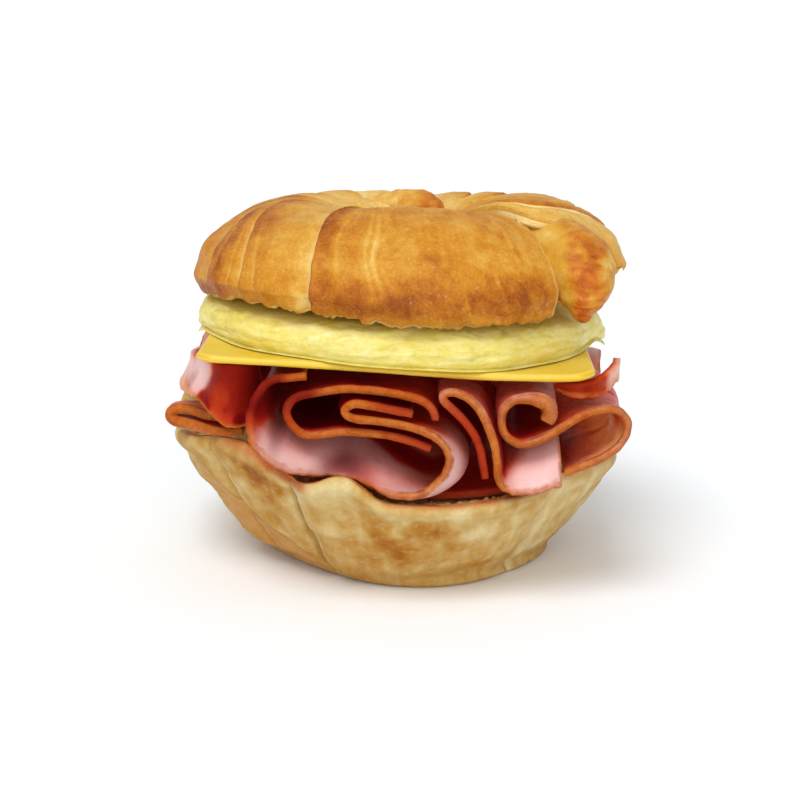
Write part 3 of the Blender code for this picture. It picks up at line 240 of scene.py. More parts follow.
# How each slice looks along its length: place along it (0 to 1), shade at the edge, shade
# further in (0 pale pink, 0.5 red, 1 nearly black), the depth over which it changes, and how
# brown it is. The shade is partly the meat's own pink and red and partly painted shade: folds,
# faces under other slices and the meat deep behind the edge are painted dark red to nearly
# black. The first list is for the side that faces up or out, the second for the other.
HAM_FACES = {
    "ham_swoop": ([(0, 0.55, 0.75, 3, 0.8), (0.03, 0.6, 0.85, 3, 0.6), (0.05, 0.92, 0.95, 4, 0.4),
      (0.12, 0.96, 0.95, 5, 0.2), (0.15, 0.8, 0.8, 6, 0.2), (0.175, 0.4, 0.45, 7, 0.1),
      (0.22, 0.1, 0.34, 10, 0.05), (0.29, 0.08, 0.3, 10), (0.335, 0.16, 0.24, 9), (0.37, 0.3, 0.22, 7),
      (0.405, 0.44, 0.24, 7), (0.44, 0.48, 0.28, 6), (0.485, 0.26, 0.3, 6), (0.53, 0.08, 0.42, 9),
      (0.565, 0.14, 0.55, 7), (0.6, 0.42, 0.64, 6, 0.25), (0.66, 0.52, 0.7, 6, 0.3),
      (0.74, 0.6, 0.78, 5, 0.1), (0.85, 0.62, 0.8, 5), (0.9, 0.8, 0.9, 4), (0.93, 0.9, 0.95, 4),
      (1, 0.95, 0.95, 4)],
     [(0, 0.7, 0.9, 4, 0.6), (0.05, 0.92, 0.95, 4, 0.3), (0.13, 0.9, 0.92, 4, 0.2),
      (0.2, 0.6, 0.8, 5, 0.3), (0.44, 0.5, 0.7, 5, 0.3), (0.49, 0.2, 0.5, 6, 0.15), (0.53, 0.06, 0.4, 10),
      (0.6, 0.05, 0.34, 11), (0.67, 0.14, 0.4, 8, 0.05), (0.72, 0.5, 0.72, 3, 0.2),
      (0.84, 0.6, 0.8, 4, 0.1), (0.9, 0.55, 0.68, 5), (1, 0.6, 0.75, 5)]),
    "ham_loop": ([(0, 0.6, 0.75, 5, 0.1), (0.2, 0.66, 0.8, 5), (0.4, 0.7, 0.8, 4),
      (0.5, 0.95, 0.9, 4, 0.2), (0.6, 0.95, 0.9, 4, 0.2), (0.75, 0.74, 0.92, 5), (0.92, 0.6, 0.7, 4, 0.2),
      (1, 0.56, 0.7, 4, 0.3)],
     [(0, 0.6, 0.85, 5, 0.1), (0.25, 0.55, 0.95, 4), (0.36, 0.46, 1, 4.5), (0.46, 0.7, 1, 4),
      (0.56, 0.95, 1, 3), (0.75, 0.7, 1, 4), (0.92, 0.6, 0.95, 4, 0.1), (1, 0.6, 0.95, 4, 0.1)]),
    "ham_hairpin": ([(0, 0.9, 0.9, 5, 0.2), (0.1, 0.78, 0.84, 5, 0.2), (0.2, 0.72, 0.8, 5, 0.2),
      (0.32, 0.54, 0.66, 4, 0.2), (0.36, 0.14, 0.5, 4), (0.42, 0.02, 0.5, 4.4), (0.5, 0.05, 0.56, 4),
      (0.56, 0.3, 0.6, 3, 0.1), (0.62, 0.6, 0.8, 3, 0.1), (0.72, 0.62, 0.84, 4), (0.77, 0.4, 0.8, 5),
      (0.8, 0.22, 0.6, 7), (0.84, 0.14, 0.45, 9), (0.9, 0.1, 0.26, 12), (1, 0.12, 0.2, 12)],
     [(0, 0.6, 0.8, 4, 0.1), (0.3, 0.6, 0.9, 4), (0.45, 0.62, 0.95, 3), (0.6, 0.62, 0.92, 4),
      (0.76, 0.6, 0.8, 4, 0.1), (1, 0.5, 0.7, 4, 0.3)]),
    "ham_roll": ([(0, 0.55, 0.8, 3, 0.6), (0.1, 0.58, 0.85, 3, 0.4), (0.2, 0.66, 0.92, 4),
      (0.32, 0.62, 0.92, 3.5), (0.38, 0.36, 0.85, 5, 0.2), (0.46, 0.3, 0.7, 5, 0.3),
      (0.54, 0.45, 0.66, 4, 0.3), (0.62, 0.3, 0.55, 3, 0.2), (0.67, 0.08, 0.5, 3.5), (0.76, 0.04, 0.45, 4),
      (0.82, 0.25, 0.5, 3, 0.4), (0.9, 0.5, 0.6, 4, 0.9), (1, 0.5, 0.62, 4, 0.7)],
     [(0, 0.35, 0.55, 3, 0.6), (0.07, 0.16, 0.5, 3, 0.2), (0.14, 0.04, 0.5, 4), (0.24, 0.05, 0.55, 4),
      (0.31, 0.4, 0.7, 3, 0.1), (0.42, 0.66, 0.85, 4), (0.58, 0.7, 0.88, 4), (0.66, 0.62, 0.8, 4, 0.2),
      (0.72, 0.45, 0.62, 7, 0.8), (0.78, 0.3, 0.5, 9, 1), (0.86, 0.26, 0.5, 10, 1),
      (0.93, 0.4, 0.62, 8, 0.8), (1, 0.62, 0.78, 6, 0.3)]),
    "ham_nub": ([(0, 0.66, 0.75, 6, 0.5), (0.3, 0.52, 0.62, 8, 0.8), (1, 0.52, 0.62, 8, 0.85)],
     [(0, 0.6, 0.8, 6, 0.4), (0.4, 0.66, 0.8, 3, 0.4), (1, 0.62, 0.78, 3, 0.4)]),
    "ham_left": ([(0, 0.2, 0.2, 7, 0.2), (0.3, 0.3, 0.2, 7, 0.3), (0.42, 0.5, 0.3, 9, 0.3),
      (0.5, 0.55, 0.72, 4, 0.4), (0.6, 0.56, 0.8, 4, 0.5), (0.8, 0.6, 0.82, 5, 0.45),
      (1, 0.75, 0.9, 5, 0.3)],
     [(0, 0.5, 0.7, 6, 0.1), (1, 0.6, 0.8, 6, 0.1)]),
    "ham_right": ([(0, 0.72, 0.76, 4, 0.4), (0.15, 0.55, 0.72, 3, 0.6), (0.42, 0.5, 0.7, 3, 0.6),
      (0.52, 0.6, 0.66, 4, 0.6), (0.62, 0.26, 0.2, 4, 0.5), (1, 0.22, 0.16, 5, 0.5)],
     [(0, 0.5, 0.7, 4, 0.3), (1, 0.4, 0.6, 4, 0.2)]),
    "ham_bed": ([(0, 0.6, 0.72, 5, 0.2), (0.5, 0.7, 0.82, 4), (1, 0.6, 0.76, 5, 0.1)],
     [(0, 0.5, 0.7, 5, 0.3), (1, 0.5, 0.7, 5, 0.3)]),
    # The wall at the back is painted nearly black: painted shade
    "ham_wall": ([(0, 0.75, 0.95, 5), (1, 0.75, 0.95, 5)],
     [(0, 0.7, 0.9, 5), (1, 0.7, 0.9, 5)])}
# For the slices at the back and the sides, with the same painted shade
HAM_FACE_OTHER = ([(0, 0.1, 0.5, 9, 0.05), (0.2, 0.2, 0.55, 7, 0.05), (0.35, 0.06, 0.45, 9),
    (0.55, 0.4, 0.7, 5, 0.1), (0.75, 0.12, 0.5, 8), (1, 0.2, 0.55, 7, 0.1)],
    [(0, 0.3, 0.65, 6, 0.1), (0.3, 0.55, 0.8, 4), (0.6, 0.12, 0.55, 7, 0.05), (1, 0.4, 0.7, 5, 0.1)])
# Strength of the brown rind along the front edge
HAM_RINDS = {
    "ham_swoop": [(0, 0.9), (0.03, 0.7), (0.05, 0.1), (0.13, 0), (0.16, 0.3), (0.19, 0.9), (0.22, 0.7),
      (0.3, 0.55), (0.36, 0.4), (0.44, 0.7), (0.5, 1), (0.91, 1), (0.93, 0.5), (1, 0.3)],
    "ham_loop": [(0, 0.2), (0.1, 0.4), (0.16, 0.9), (0.38, 0.9), (0.46, 0.4), (0.52, 0.1), (0.58, 0.1),
      (0.64, 0.9), (0.9, 0.9), (0.95, 0.5), (1, 0.3)],
    "ham_hairpin": [(0, 0.15), (0.28, 0.2), (0.36, 0.8), (0.4, 1), (0.8, 1), (0.9, 0.8), (1, 0.75)],
    "ham_left": [(0, 0.1), (0.5, 0.3), (0.62, 1), (1, 1)],
    "ham_right": [(0, 0.5), (1, 0.5)],
    "ham_bed": [(0, 0.5), (0.2, 0.1), (1, 0.2)],
    "ham_wall": [(0, 0.1), (1, 0.1)]}
# Where a slice is thicker than the others, on its first and on its other side: place along it
# and how much
HAM_SWELL = {
    "ham_roll": [(0, 2), (0.1, 1.9), (0.17, 1)],
    "ham_nub": [(0, 1), (0.5, 1), (0.7, 0.9)]}
HAM_SWELL_UNDER = {
    "ham_roll": [(0, 1.7), (0.09, 1.5), (0.15, 1)],
    "ham_nub": [(0, 1), (0.2, 1.4), (0.36, 1.85), (0.7, 1.85), (0.9, 1.4), (1, 1)]}
# Darker or paler places on the first side of a slice: x, z, half width, half height, lean in
# degrees, shade, brownness, strength. The pale ones are the meat's own colour; the dark ones
# are painted shade in pockets, holes and creases.
HAM_SPOTS = {
    "ham_left": [(-44.6, 51.5, 2.9, 6, -22, 0.12, 0, 1), (-43.7, 45.4, 1.9, 3.4, -28, 0.92, 0.2, 0.9),
      (-49.3, 45.4, 3, 2.6, 0, 0.3, 0.8, 0.9), (-36.2, 41.9, 1.4, 1.8, 0, 1, 0, 0.8),
      (-40.5, 47.5, 2.4, 3.6, -10, 0.62, 0.5, 0.5)],
    "ham_right": [(41.5, 49.4, 1, 2.2, 15, 0.8, 0.5, 0.7)]}
# Painted mauve shadows on the first side of a slice: x, z, half width, half height, lean, strength
HAM_SHADOWS = {
    "ham_swoop": [(-12, 32, 6.4, 2.2, 0, 0.9), (-27.5, 41, 2.2, 4.5, -10, 0.7), (-16, 38.4, 9, 1, 6, 0.45),
      (-2, 36, 9, 1.6, -18, 0.4)],
    "ham_hairpin": [(24, 35.6, 4, 2.4, 25, 0.6)],
    "ham_left": [(-42, 50, 0.7, 5, -26, 0.6), (-46.8, 49.5, 0.8, 3.4, -30, 0.4)]}


# Numbers that vary along, round or over the food
def around(table, angle, blur=5):
    """Value at each angle, from a table of angles and values, evened out over `blur` degrees."""
    turn = np.arange(0.0, 360.0, 1.0)
    ring = np.interp(turn, list(table), list(table.values()), period=360.0)
    weights = np.hanning(2 * blur + 3)[1:-1]
    total = sum(weight * np.roll(ring, shift) for shift, weight in enumerate(weights, -blur))
    return np.interp(angle, turn, total / weights.sum(), period=360.0)


def along(table, place):
    """Value at each place, from a table of (place, value)."""
    return np.interp(place, *zip(*table))


def limit(value):
    return np.clip(value, 0.0, 1.0)


def rise(value, low, high):
    """Smooth step from 0 at low to 1 at high; high may be the smaller one."""
    t = limit((value - low) / (high - low))
    return t * t * (3.0 - 2.0 * t)


def hump(value, low, top_low, top_high, high):
    """0 up to low, 1 from top_low to top_high, and 0 again from high on."""
    return rise(value, low, top_low) * rise(value, high, top_high)


def bell(value, width, power=2):
    return np.exp(-(value / width) ** power)


def waves(points, size, seed, terms=14):
    """Smooth random field over points (N x 3, mm), about -1 to 1, features of a given size."""
    rng = np.random.default_rng(seed)
    total = np.zeros(len(points))
    for _ in range(terms):
        way = rng.normal(size=3)
        way /= np.linalg.norm(way)
        step = 2.0 * math.pi / (size * rng.uniform(0.7, 1.5))
        total += np.sin(points @ way * step + rng.uniform(0.0, 2.0 * math.pi))
    return total / math.sqrt(terms) * 0.9


def wave_sum(points, *parts):
    """Sum of random fields, each given as weight, size, seed and, if wanted, terms."""
    return sum(weight * waves(points, *rest) for weight, *rest in parts)


def rings(angle, size, seed, shift=0.0, terms=9):
    """Random field over an angle in degrees that closes round the ring."""
    rng = np.random.default_rng(seed)
    total = np.zeros(len(angle))
    for _ in range(terms):
        count = max(1, round(360.0 / (size * rng.uniform(0.6, 1.7))))
        total += np.sin(np.radians(angle + shift) * count + rng.uniform(0.0, 2.0 * math.pi))
    return total / math.sqrt(terms)


def segment_place(angle, seams):
    """Segment index, degrees after its first seam, degrees before its last, for an array."""
    marks = np.array([seams[-1] - 360.0] + seams + [seams[0] + 360.0])
    wrapped = angle % 360.0
    index = np.searchsorted(marks, wrapped, side="right") - 1
    return (index - 1) % len(seams), wrapped - marks[index], marks[index + 1] - wrapped


def ring_angles(seams, gap):
    """Angles round the ring, evenly spaced, with a pair close beside each seam."""
    angles = []
    for start, end in zip(seams, seams[1:] + [seams[0] + 360.0]):
        count = max(3, int((end - start) / RING_STEP))
        angles.extend(np.linspace(start + gap, end - gap, count))
    return np.array(angles)


def patches(table, angle, row, spots, size, seed, uneven):
    """Sum of browner and paler places with uneven edges."""
    total = 0.0
    for place, level, wide, tall, strength in table:
        far = ((angle - place) / wide) ** 2 + ((row - level) / tall) ** 2
        edge = 1.0 + uneven * waves(spots, size, int(place) + seed)
        total += strength * np.exp(-far * np.clip(edge, 1.0 - uneven, 2.0))
    return total


def curve_through(rows, per):
    """Catmull-Rom through axis 0 of an array, `per` steps a span."""
    rows = np.array(rows, dtype=float)
    ends = np.concatenate([2 * rows[:1] - rows[1:2], rows, 2 * rows[-1:] - rows[-2:-1]])
    out = []
    for a, b, c, d in zip(ends, ends[1:], ends[2:], ends[3:]):
        for t in np.linspace(0.0, 1.0, per, endpoint=False):
            out.append(0.5 * (2 * b + (c - a) * t + (2 * a - 5 * b + 4 * c - d) * t ** 2
                              + (3 * b - a - 3 * c + d) * t ** 3))
    return np.array(out + [rows[-1]])


def filled(rows, width=5):
    """Rows with zeros for what was left out at their ends."""
    return [tuple(row) + (0,) * (width - len(row)) for row in rows]


def smooth_path(points, count):
    fine = curve_through(filled(points), 16)
    run = np.concatenate([[0.0], np.cumsum(np.linalg.norm(np.diff(fine[:, :2], axis=0), axis=1))])
    marks = np.linspace(0.0, run[-1], count)
    return np.column_stack([np.interp(marks, run, column) for column in fine.T])


def path_length(points):
    fine = smooth_path(points, 120)
    return float(np.linalg.norm(np.diff(fine[:, :2], axis=0), axis=1).sum())


# Meshes
def make_mesh(name, vertices, quads, attributes):
    """Smooth mesh object from arrays in mm, with float attributes on its points."""
    low, high = (np.array(corner) / MM for corner in CAD_BOX)
    vertices = np.clip(vertices, low + BOX_INSET, high - BOX_INSET)
    vertices[:, 2] = np.where(vertices[:, 2] < FLOOR_SNAP, 0.0, vertices[:, 2])
    mesh = bpy.data.meshes.new(name)
    mesh.vertices.add(len(vertices))
    mesh.vertices.foreach_set("co", (vertices * MM).astype(np.float32).ravel())
    mesh.loops.add(quads.size)
    mesh.loops.foreach_set("vertex_index", quads.astype(np.int32).ravel())
    mesh.polygons.add(len(quads))
    mesh.polygons.foreach_set("loop_start", np.arange(0, quads.size, 4, dtype=np.int32))
    mesh.update(calc_edges=True)
    mesh.validate()
    for key, values in attributes.items():
        layer = mesh.attributes.new(key, "FLOAT", "POINT")
        layer.data.foreach_set("value", values.astype(np.float32))
    mesh.shade_smooth()
    return place_in_scene(bpy.data.objects.new(name, mesh))


def place_in_scene(thing):
    bpy.context.scene.collection.objects.link(thing)
    return thing


def grid_quads(rows, columns, closed):
    """Quads of a grid of points stored row by row; closed joins the last row to the first."""
    j, i = np.meshgrid(np.arange(rows if closed else rows - 1), np.arange(columns - 1), indexing="ij")
    a = j * columns + i
    b = ((j + 1) % rows) * columns + i
    return np.stack([a, a + 1, b + 1, b], axis=-1).reshape(-1, 4)


def two_sided(name, upper, lower, attributes):
    """Closed sheet from an upper and a lower grid of points."""
    rows, columns = upper.shape[:2]
    layer = rows * columns
    index = np.arange(layer).reshape(rows, columns)
    ring = np.concatenate([index[0], index[1:, -1], index[-1, -2::-1], index[-2:0:-1, 0]])
    following = np.roll(ring, -1)
    sides = np.stack([following, ring, ring + layer, following + layer], axis=-1)
    quads = grid_quads(rows, columns, False)
    spots = np.vstack([upper.reshape(-1, 3), lower.reshape(-1, 3)])
    return make_mesh(name, spots, np.vstack([quads, quads[:, ::-1] + layer, sides]), attributes)


def unit(vectors, least=1e-9):
    return vectors / np.maximum(np.linalg.norm(vectors, axis=-1, keepdims=True), least)


def normals_of(grid, middle):
    """Unit normals of a closed ring grid (columns x profile x 3), away from a middle point."""
    turning = np.roll(grid, -1, axis=0) - np.roll(grid, 1, axis=0)
    normal = unit(np.cross(np.gradient(grid, axis=1), turning).reshape(-1, 3))
    flip = np.sign((normal * (grid.reshape(-1, 3) - np.array(middle))).sum(axis=1))
    return normal * np.where(flip == 0, 1, flip)[:, None]


def ring_skin(rows, angle, per, middle, edge):
    """Fine closed skin round a middle point, through rows of turned angle, radius and height, with
    `edge` added to its height. Returns its points, their normals, angle, row and radius, and the
    quads."""
    fine = curve_through(rows, per)
    fine[..., 1:] = np.maximum(fine[..., 1:], 0.0)
    place = np.linspace(0.0, len(rows) - 1, len(fine))
    turn, radius, height = fine[..., 0], fine[..., 1], fine[..., 2] + edge(place[:, None])
    turn = np.radians(turn)
    grid = np.stack([middle[0] + radius * np.cos(turn), radius * np.sin(turn), height], axis=-1)
    grid = grid.transpose(1, 0, 2)
    row = np.broadcast_to(place, grid.shape[:2]).ravel()
    flow = np.broadcast_to(angle[:, None], grid.shape[:2]).ravel()
    quads = grid_quads(len(angle), len(fine), True)
    return grid.reshape(-1, 3), normals_of(grid, middle), flow, row, radius.T.ravel(), quads


# Materials
def linear(colour):
    """Linear colour from 0-255 display values."""
    parts = [c / 255.0 for c in colour]
    return (*(c / 12.92 if c <= 0.04045 else ((c + 0.055) / 1.055) ** 2.4 for c in parts), 1.0)


class Skin:
    """Principled material with a soft inside, and short calls that add nodes to it."""

    def __init__(self, name, roughness, specular, soft, radius, scale):
        self.material = bpy.data.materials.new(name)
        self.material.use_nodes = True
        self.tree = self.material.node_tree
        self.tree.nodes.clear()
        out = self.tree.nodes.new("ShaderNodeOutputMaterial")
        self.shader = self.tree.nodes.new("ShaderNodeBsdfPrincipled")
        self.tree.links.new(self.shader.outputs["BSDF"], out.inputs["Surface"])
        self.set(self.shader, {"Roughness": roughness, "Specular IOR Level": specular,
                               "Subsurface Weight": soft, "Subsurface Radius": radius,
                               "Subsurface Scale": scale * MM})

    def set(self, node, inputs):
        """Links each input that is a socket and sets the others."""
        for key, value in inputs.items():
            if isinstance(value, bpy.types.NodeSocket):
                self.tree.links.new(value, node.inputs[key])
            else:
                node.inputs[key].default_value = value

    def add(self, kind, output, inputs, **settings):
        node = self.tree.nodes.new("ShaderNode" + kind)
        for key, value in settings.items():
            setattr(node, key, value)
        self.set(node, inputs)
        return node.outputs[output]

    def attribute(self, name):
        return self.add("Attribute", "Fac", {}, attribute_name=name)

    def spot(self, *stretch):
        """Object coordinates in millimetres, stretched."""
        place = self.add("TexCoord", "Object", {})
        scale = [1000.0 * s for s in stretch or (1, 1, 1)]
        return self.add("Mapping", "Vector", {"Vector": place, "Scale": scale})

    def noise(self, vector, scale, detail=4.0, rough=0.6, distort=0.0):
        return self.add("TexNoise", "Fac", {"Vector": vector, "Scale": scale, "Detail": detail,
                                            "Roughness": rough, "Distortion": distort})

    def cells(self, vector, scale, smooth=0.4):
        return self.add("TexVoronoi", "Distance", {"Vector": vector, "Scale": scale, "Smoothness": smooth},
                        feature="SMOOTH_F1")

    def maths(self, kind, a, b):
        return self.add("Math", "Value", {0: a, 1: b}, operation=kind)

    def mixed(self, base, *terms):
        """Sum of a value and (value, weight) pairs; each value is taken about its middle, 0.5."""
        for value, weight in terms:
            part = self.maths("MULTIPLY", self.maths("SUBTRACT", value, 0.5), weight)
            base = self.maths("ADD", base, part)
        return base

    def spread(self, value, low, high, to_low=0.0, to_high=1.0):
        return self.add("MapRange", "Result", {"Value": value, "From Min": low, "From Max": high,
                                               "To Min": to_low, "To Max": to_high}, clamp=True)

    def ramp(self, value, stops):
        node = self.tree.nodes.new("ShaderNodeValToRGB")
        points = node.color_ramp.elements
        while len(points) < len(stops):
            points.new(0.5)
        for point, (place, colour) in zip(points, stops):
            point.position = place
            point.color = linear(colour)
        self.set(node, {"Fac": value})
        return node.outputs["Color"]

    def blend(self, share, under, over):
        over = linear(over) if isinstance(over, tuple) else over
        return self.add("Mix", 2, {0: share, 6: under, 7: over}, data_type="RGBA")

    def tint(self, under, name, strength, over):
        """Blends a colour in where the named attribute is high."""
        return self.blend(self.maths("MULTIPLY", self.attribute(name), strength), under, over)

    def finish(self, colour, height, strength, distance, **others):
        bump = self.add("Bump", "Normal", {"Strength": strength, "Distance": distance * MM,
                                           "Height": height})
        self.set(self.shader, {"Base Color": colour, "Normal": bump})
        self.set(self.shader, {key.replace("_", " "): value for key, value in others.items()})
        return self.material


CRUST_RAMP = [(0.0, (234, 208, 146)), (0.2, (222, 182, 98)), (0.4, (209, 156, 60)), (0.6, (196, 131, 34)),
    (0.8, (176, 102, 18)), (1.0, (142, 70, 10))]


def crown_material():
    m = Skin("crown_crust", 0.42, 0.16, 0.06, (0.9, 0.4, 0.1), 1.0)
    spot = m.spot()
    fine = m.noise(spot, 1.5, 5.0, 0.68)
    grain = m.noise(spot, 4.5, 3.0)
    mid = m.noise(spot, 0.42, 5.0, 0.62, 0.5)
    bake = m.mixed(m.attribute("bake"), (mid, 0.36), (fine, 0.5), (grain, 0.2))
    colour = m.ramp(bake, CRUST_RAMP)
    colour = m.tint(colour, "thread", 0.55, (242, 214, 150))
    # Painted shadow in the seam grooves
    colour = m.tint(colour, "painted_seam_shadow", 0.4, (140, 72, 18))
    # Darker brown band along the lip: partly the browner crust edge, partly painted shade under the lip
    colour = m.tint(colour, "lip_brown_and_shade", 0.35, (176, 116, 36))
    flecks = m.maths("MULTIPLY", m.spread(m.noise(spot, 1.1, 3.0, 0.6, 0.4), 0.6, 0.72), 0.2)
    colour = m.blend(flecks, colour, (236, 208, 152))
    crumb = m.ramp(m.noise(spot, 0.6), [(0.3, (214, 166, 84)), (0.7, (238, 206, 132))])
    colour = m.blend(m.attribute("crust"), crumb, colour)
    height = m.mixed(m.cells(spot, 1.3), (fine, 1.2), (grain, 0.5))
    return m.finish(colour, height, 0.3, 0.22, Roughness=m.spread(fine, 0.3, 0.7, 0.36, 0.55))


def horn_material():
    m = Skin("horn_crust", 0.4, 0.18, 0.06, (0.9, 0.4, 0.1), 1.0)
    spot = m.spot()
    mid = m.noise(spot, 0.55, 5.0, 0.62, 0.6)
    fine = m.noise(spot, 1.8, 5.0, 0.68)
    bake = m.mixed(m.attribute("bake"), (mid, 0.42), (fine, 0.44))
    red = m.ramp(bake, [(0.2, (216, 164, 78)), (0.5, (206, 134, 42)), (0.75, (188, 98, 20)),
                        (1.0, (150, 62, 10))])
    colour = m.blend(m.attribute("patch"), m.ramp(bake, CRUST_RAMP), red)
    colour = m.tint(colour, "yellow", 0.6, (206, 160, 54))
    return m.finish(colour, m.mixed(m.cells(spot, 1.0), (fine, 1.2), (mid, 0.8)), 0.35, 0.3)


def heel_material():
    m = Skin("heel_crust", 0.55, 0.14, 0.06, (0.9, 0.5, 0.2), 1.2)
    spot = m.spot()
    mid = m.noise(spot, 0.3, 5.0, 0.62, 0.4)
    fine = m.noise(spot, 1.4, 5.0, 0.68)
    grain = m.noise(spot, 4.0, 3.0)
    bake = m.mixed(m.attribute("bake"), (mid, 0.42), (fine, 0.36), (grain, 0.22))
    colour = m.ramp(bake, [(0.0, (216, 196, 144)), (0.25, (200, 170, 108)), (0.5, (186, 142, 68)),
                           (0.75, (174, 116, 32)), (1.0, (150, 86, 12))])
    flour = m.maths("MULTIPLY", m.spread(m.noise(spot, 0.7, 5.0, 0.7), 0.52, 0.7), 0.3)
    colour = m.blend(flour, colour, (222, 206, 168))
    colour = m.tint(colour, "shelf", 0.5, (196, 140, 76))
    colour = m.tint(colour, "line", 0.6, (160, 112, 48))
    colour = m.tint(colour, "flour", 0.45, (224, 208, 162))
    # Painted shade in the seam creases, stronger at the front
    colour = m.tint(colour, "painted_crease_shade", 0.6, (158, 112, 50))
    crumb = m.ramp(m.noise(spot, 0.6), [(0.3, (196, 160, 92)), (0.7, (228, 200, 138))])
    colour = m.blend(m.attribute("crust"), crumb, colour)
    # Painted shade tinted red by light off the ham, on the bread just under the ham's edges
    colour = m.tint(colour, "painted_red_shade", 0.85, m.ramp(fine, [(0.3, (176, 66, 22)), (0.7, (204, 116, 50))]))
    height = m.mixed(m.cells(spot, 1.0), (fine, 1.4), (grain, 0.6))
    return m.finish(colour, height, 0.35, 0.3, Roughness=m.spread(mid, 0.3, 0.7, 0.48, 0.62))


def egg_material():
    m = Skin("egg_skin", 0.42, 0.45, 0.22, (1.0, 0.8, 0.3), 2.0)
    spot = m.spot()
    flat = m.spot(0.6, 0.6, 1.8)
    mid = m.noise(flat, 0.45, 5.0, 0.65, 0.6)
    fine = m.noise(spot, 1.8)
    shade = m.mixed(0.5, (m.noise(flat, 0.12, 3.0, 0.6, 0.5), 0.9), (mid, 1.1), (fine, 0.4))
    colour = m.ramp(shade, [(0.15, (233, 225, 162)), (0.45, (227, 214, 126)), (0.7, (220, 202, 88)),
                            (0.95, (208, 185, 56))])
    colour = m.tint(colour, "pits", 0.35, (214, 192, 74))
    height = m.mixed(m.cells(spot, 0.7, 0.3), (fine, 1.0), (mid, 1.0))
    return m.finish(colour, height, 0.3, 0.35, Roughness=m.spread(mid, 0.3, 0.7, 0.34, 0.56))


def cheese_material():
    m = Skin("cheese_skin", 0.34, 0.45, 0.25, (1.0, 0.7, 0.2), 2.0)
    spot = m.spot()
    broad = m.noise(spot, 0.08, 3.0, 0.5)
    fine = m.noise(spot, 1.2)
    colour = m.ramp(m.mixed(0.4, (broad, 1.0), (fine, 0.25)),
                    [(0.2, (234, 206, 88)), (0.5, (229, 195, 60)), (0.8, (222, 182, 40))])
    colour = m.tint(colour, "edge", 0.7, (222, 180, 34))
    return m.finish(colour, m.mixed(fine, (broad, 1.5)), 0.12, 0.3)


def ham_material():
    m = Skin("ham_meat", 0.3, 0.5, 0.18, (1.0, 0.22, 0.15), 1.2)
    spot = m.spot()
    mid = m.noise(spot, 0.35, 4.0, 0.6, 0.5)
    fine = m.noise(spot, 1.6)
    grain = m.noise(spot, 4.0, 3.0)
    # Shade ramp from pale pink through red to nearly black: the meat's own colours, with painted shade at
    # the dark end
    shade = m.mixed(m.attribute("shade"), (mid, 0.16), (fine, 0.10), (grain, 0.05))
    colour = m.ramp(shade, [(0.0, (228, 190, 184)), (0.2, (216, 162, 156)), (0.38, (204, 120, 108)),
                            (0.5, (186, 76, 60)), (0.64, (178, 42, 24)), (0.82, (146, 18, 16)),
                            (1.0, (86, 6, 14))])
    brown = m.ramp(shade, [(0.1, (230, 176, 128)), (0.4, (216, 128, 62)), (0.6, (184, 72, 26)),
                           (0.85, (122, 30, 14))])
    colour = m.blend(m.attribute("brown"), colour, brown)
    # Painted mauve shadow where HAM_SHADOWS lies
    colour = m.blend(m.attribute("mauve"), colour, (118, 50, 54))
    wobbly = m.mixed(m.attribute("rim"), (mid, 1.4), (fine, 0.5))
    band = m.maths("MULTIPLY", m.spread(wobbly, 0.25, 0.95, 1.0, 0.0), m.attribute("rind"))
    rind = m.ramp(m.mixed(0.5, (fine, 0.6), (mid, 1.0)),
                  [(0.1, (138, 60, 16)), (0.45, (174, 88, 28)), (0.9, (204, 130, 62))])
    colour = m.blend(band, colour, rind)
    # Painted glow: the meat emits its own colour, standing in for light shining through the thin meat
    m.set(m.shader, {"Emission Color": colour, "Emission Strength": m.attribute("painted_glow"),
                     "Specular IOR Level": m.spread(shade, 0.3, 0.6, 0.4, 0.02)})
    height = m.mixed(mid, (fine, 0.5), (grain, 0.2))
    return m.finish(colour, height, 0.22, 0.3, Roughness=m.spread(mid, 0.3, 0.7, 0.28, 0.44))


# Croissant top
def in_crown_wrap(angle):
    return (angle > CROWN_WRAP[0]) & (angle < CROWN_WRAP[1])


def crown_relief(angle):
    _, after, before = segment_place(angle, CROWN_SEAMS)
    share = after / (after + before)
    relief = around(CROWN_BULGE, angle) * np.sin(np.pi * limit(share)) ** 0.6
    step = around(CROWN_STEP, angle)
    wrapped = angle % 360.0
    after_wrap = np.abs(wrapped - after - CROWN_WRAP[1]) < 0.5
    relief += np.where(after_wrap, -step, step) * np.exp(-after / 4.0)
    relief += np.where(in_crown_wrap(wrapped), step, -step) * np.exp(-before / 4.0)
    return relief


def crown_swell(angle):
    """The relief, rounded where the rolled edges run over the back and the right."""
    wrapped = angle % 360.0
    width = 0.12 + 1.5 * np.maximum(rise(wrapped, 318.0, 324.0), rise(wrapped, 214.0, 196.0))
    shifts = (-1.0, -0.66, -0.33, 0.0, 0.33, 0.66, 1.0)
    weights = (0.08, 0.16, 0.17, 0.18, 0.17, 0.16, 0.08)
    return sum(weight * crown_relief(angle + shift * width) for shift, weight in zip(shifts, weights))


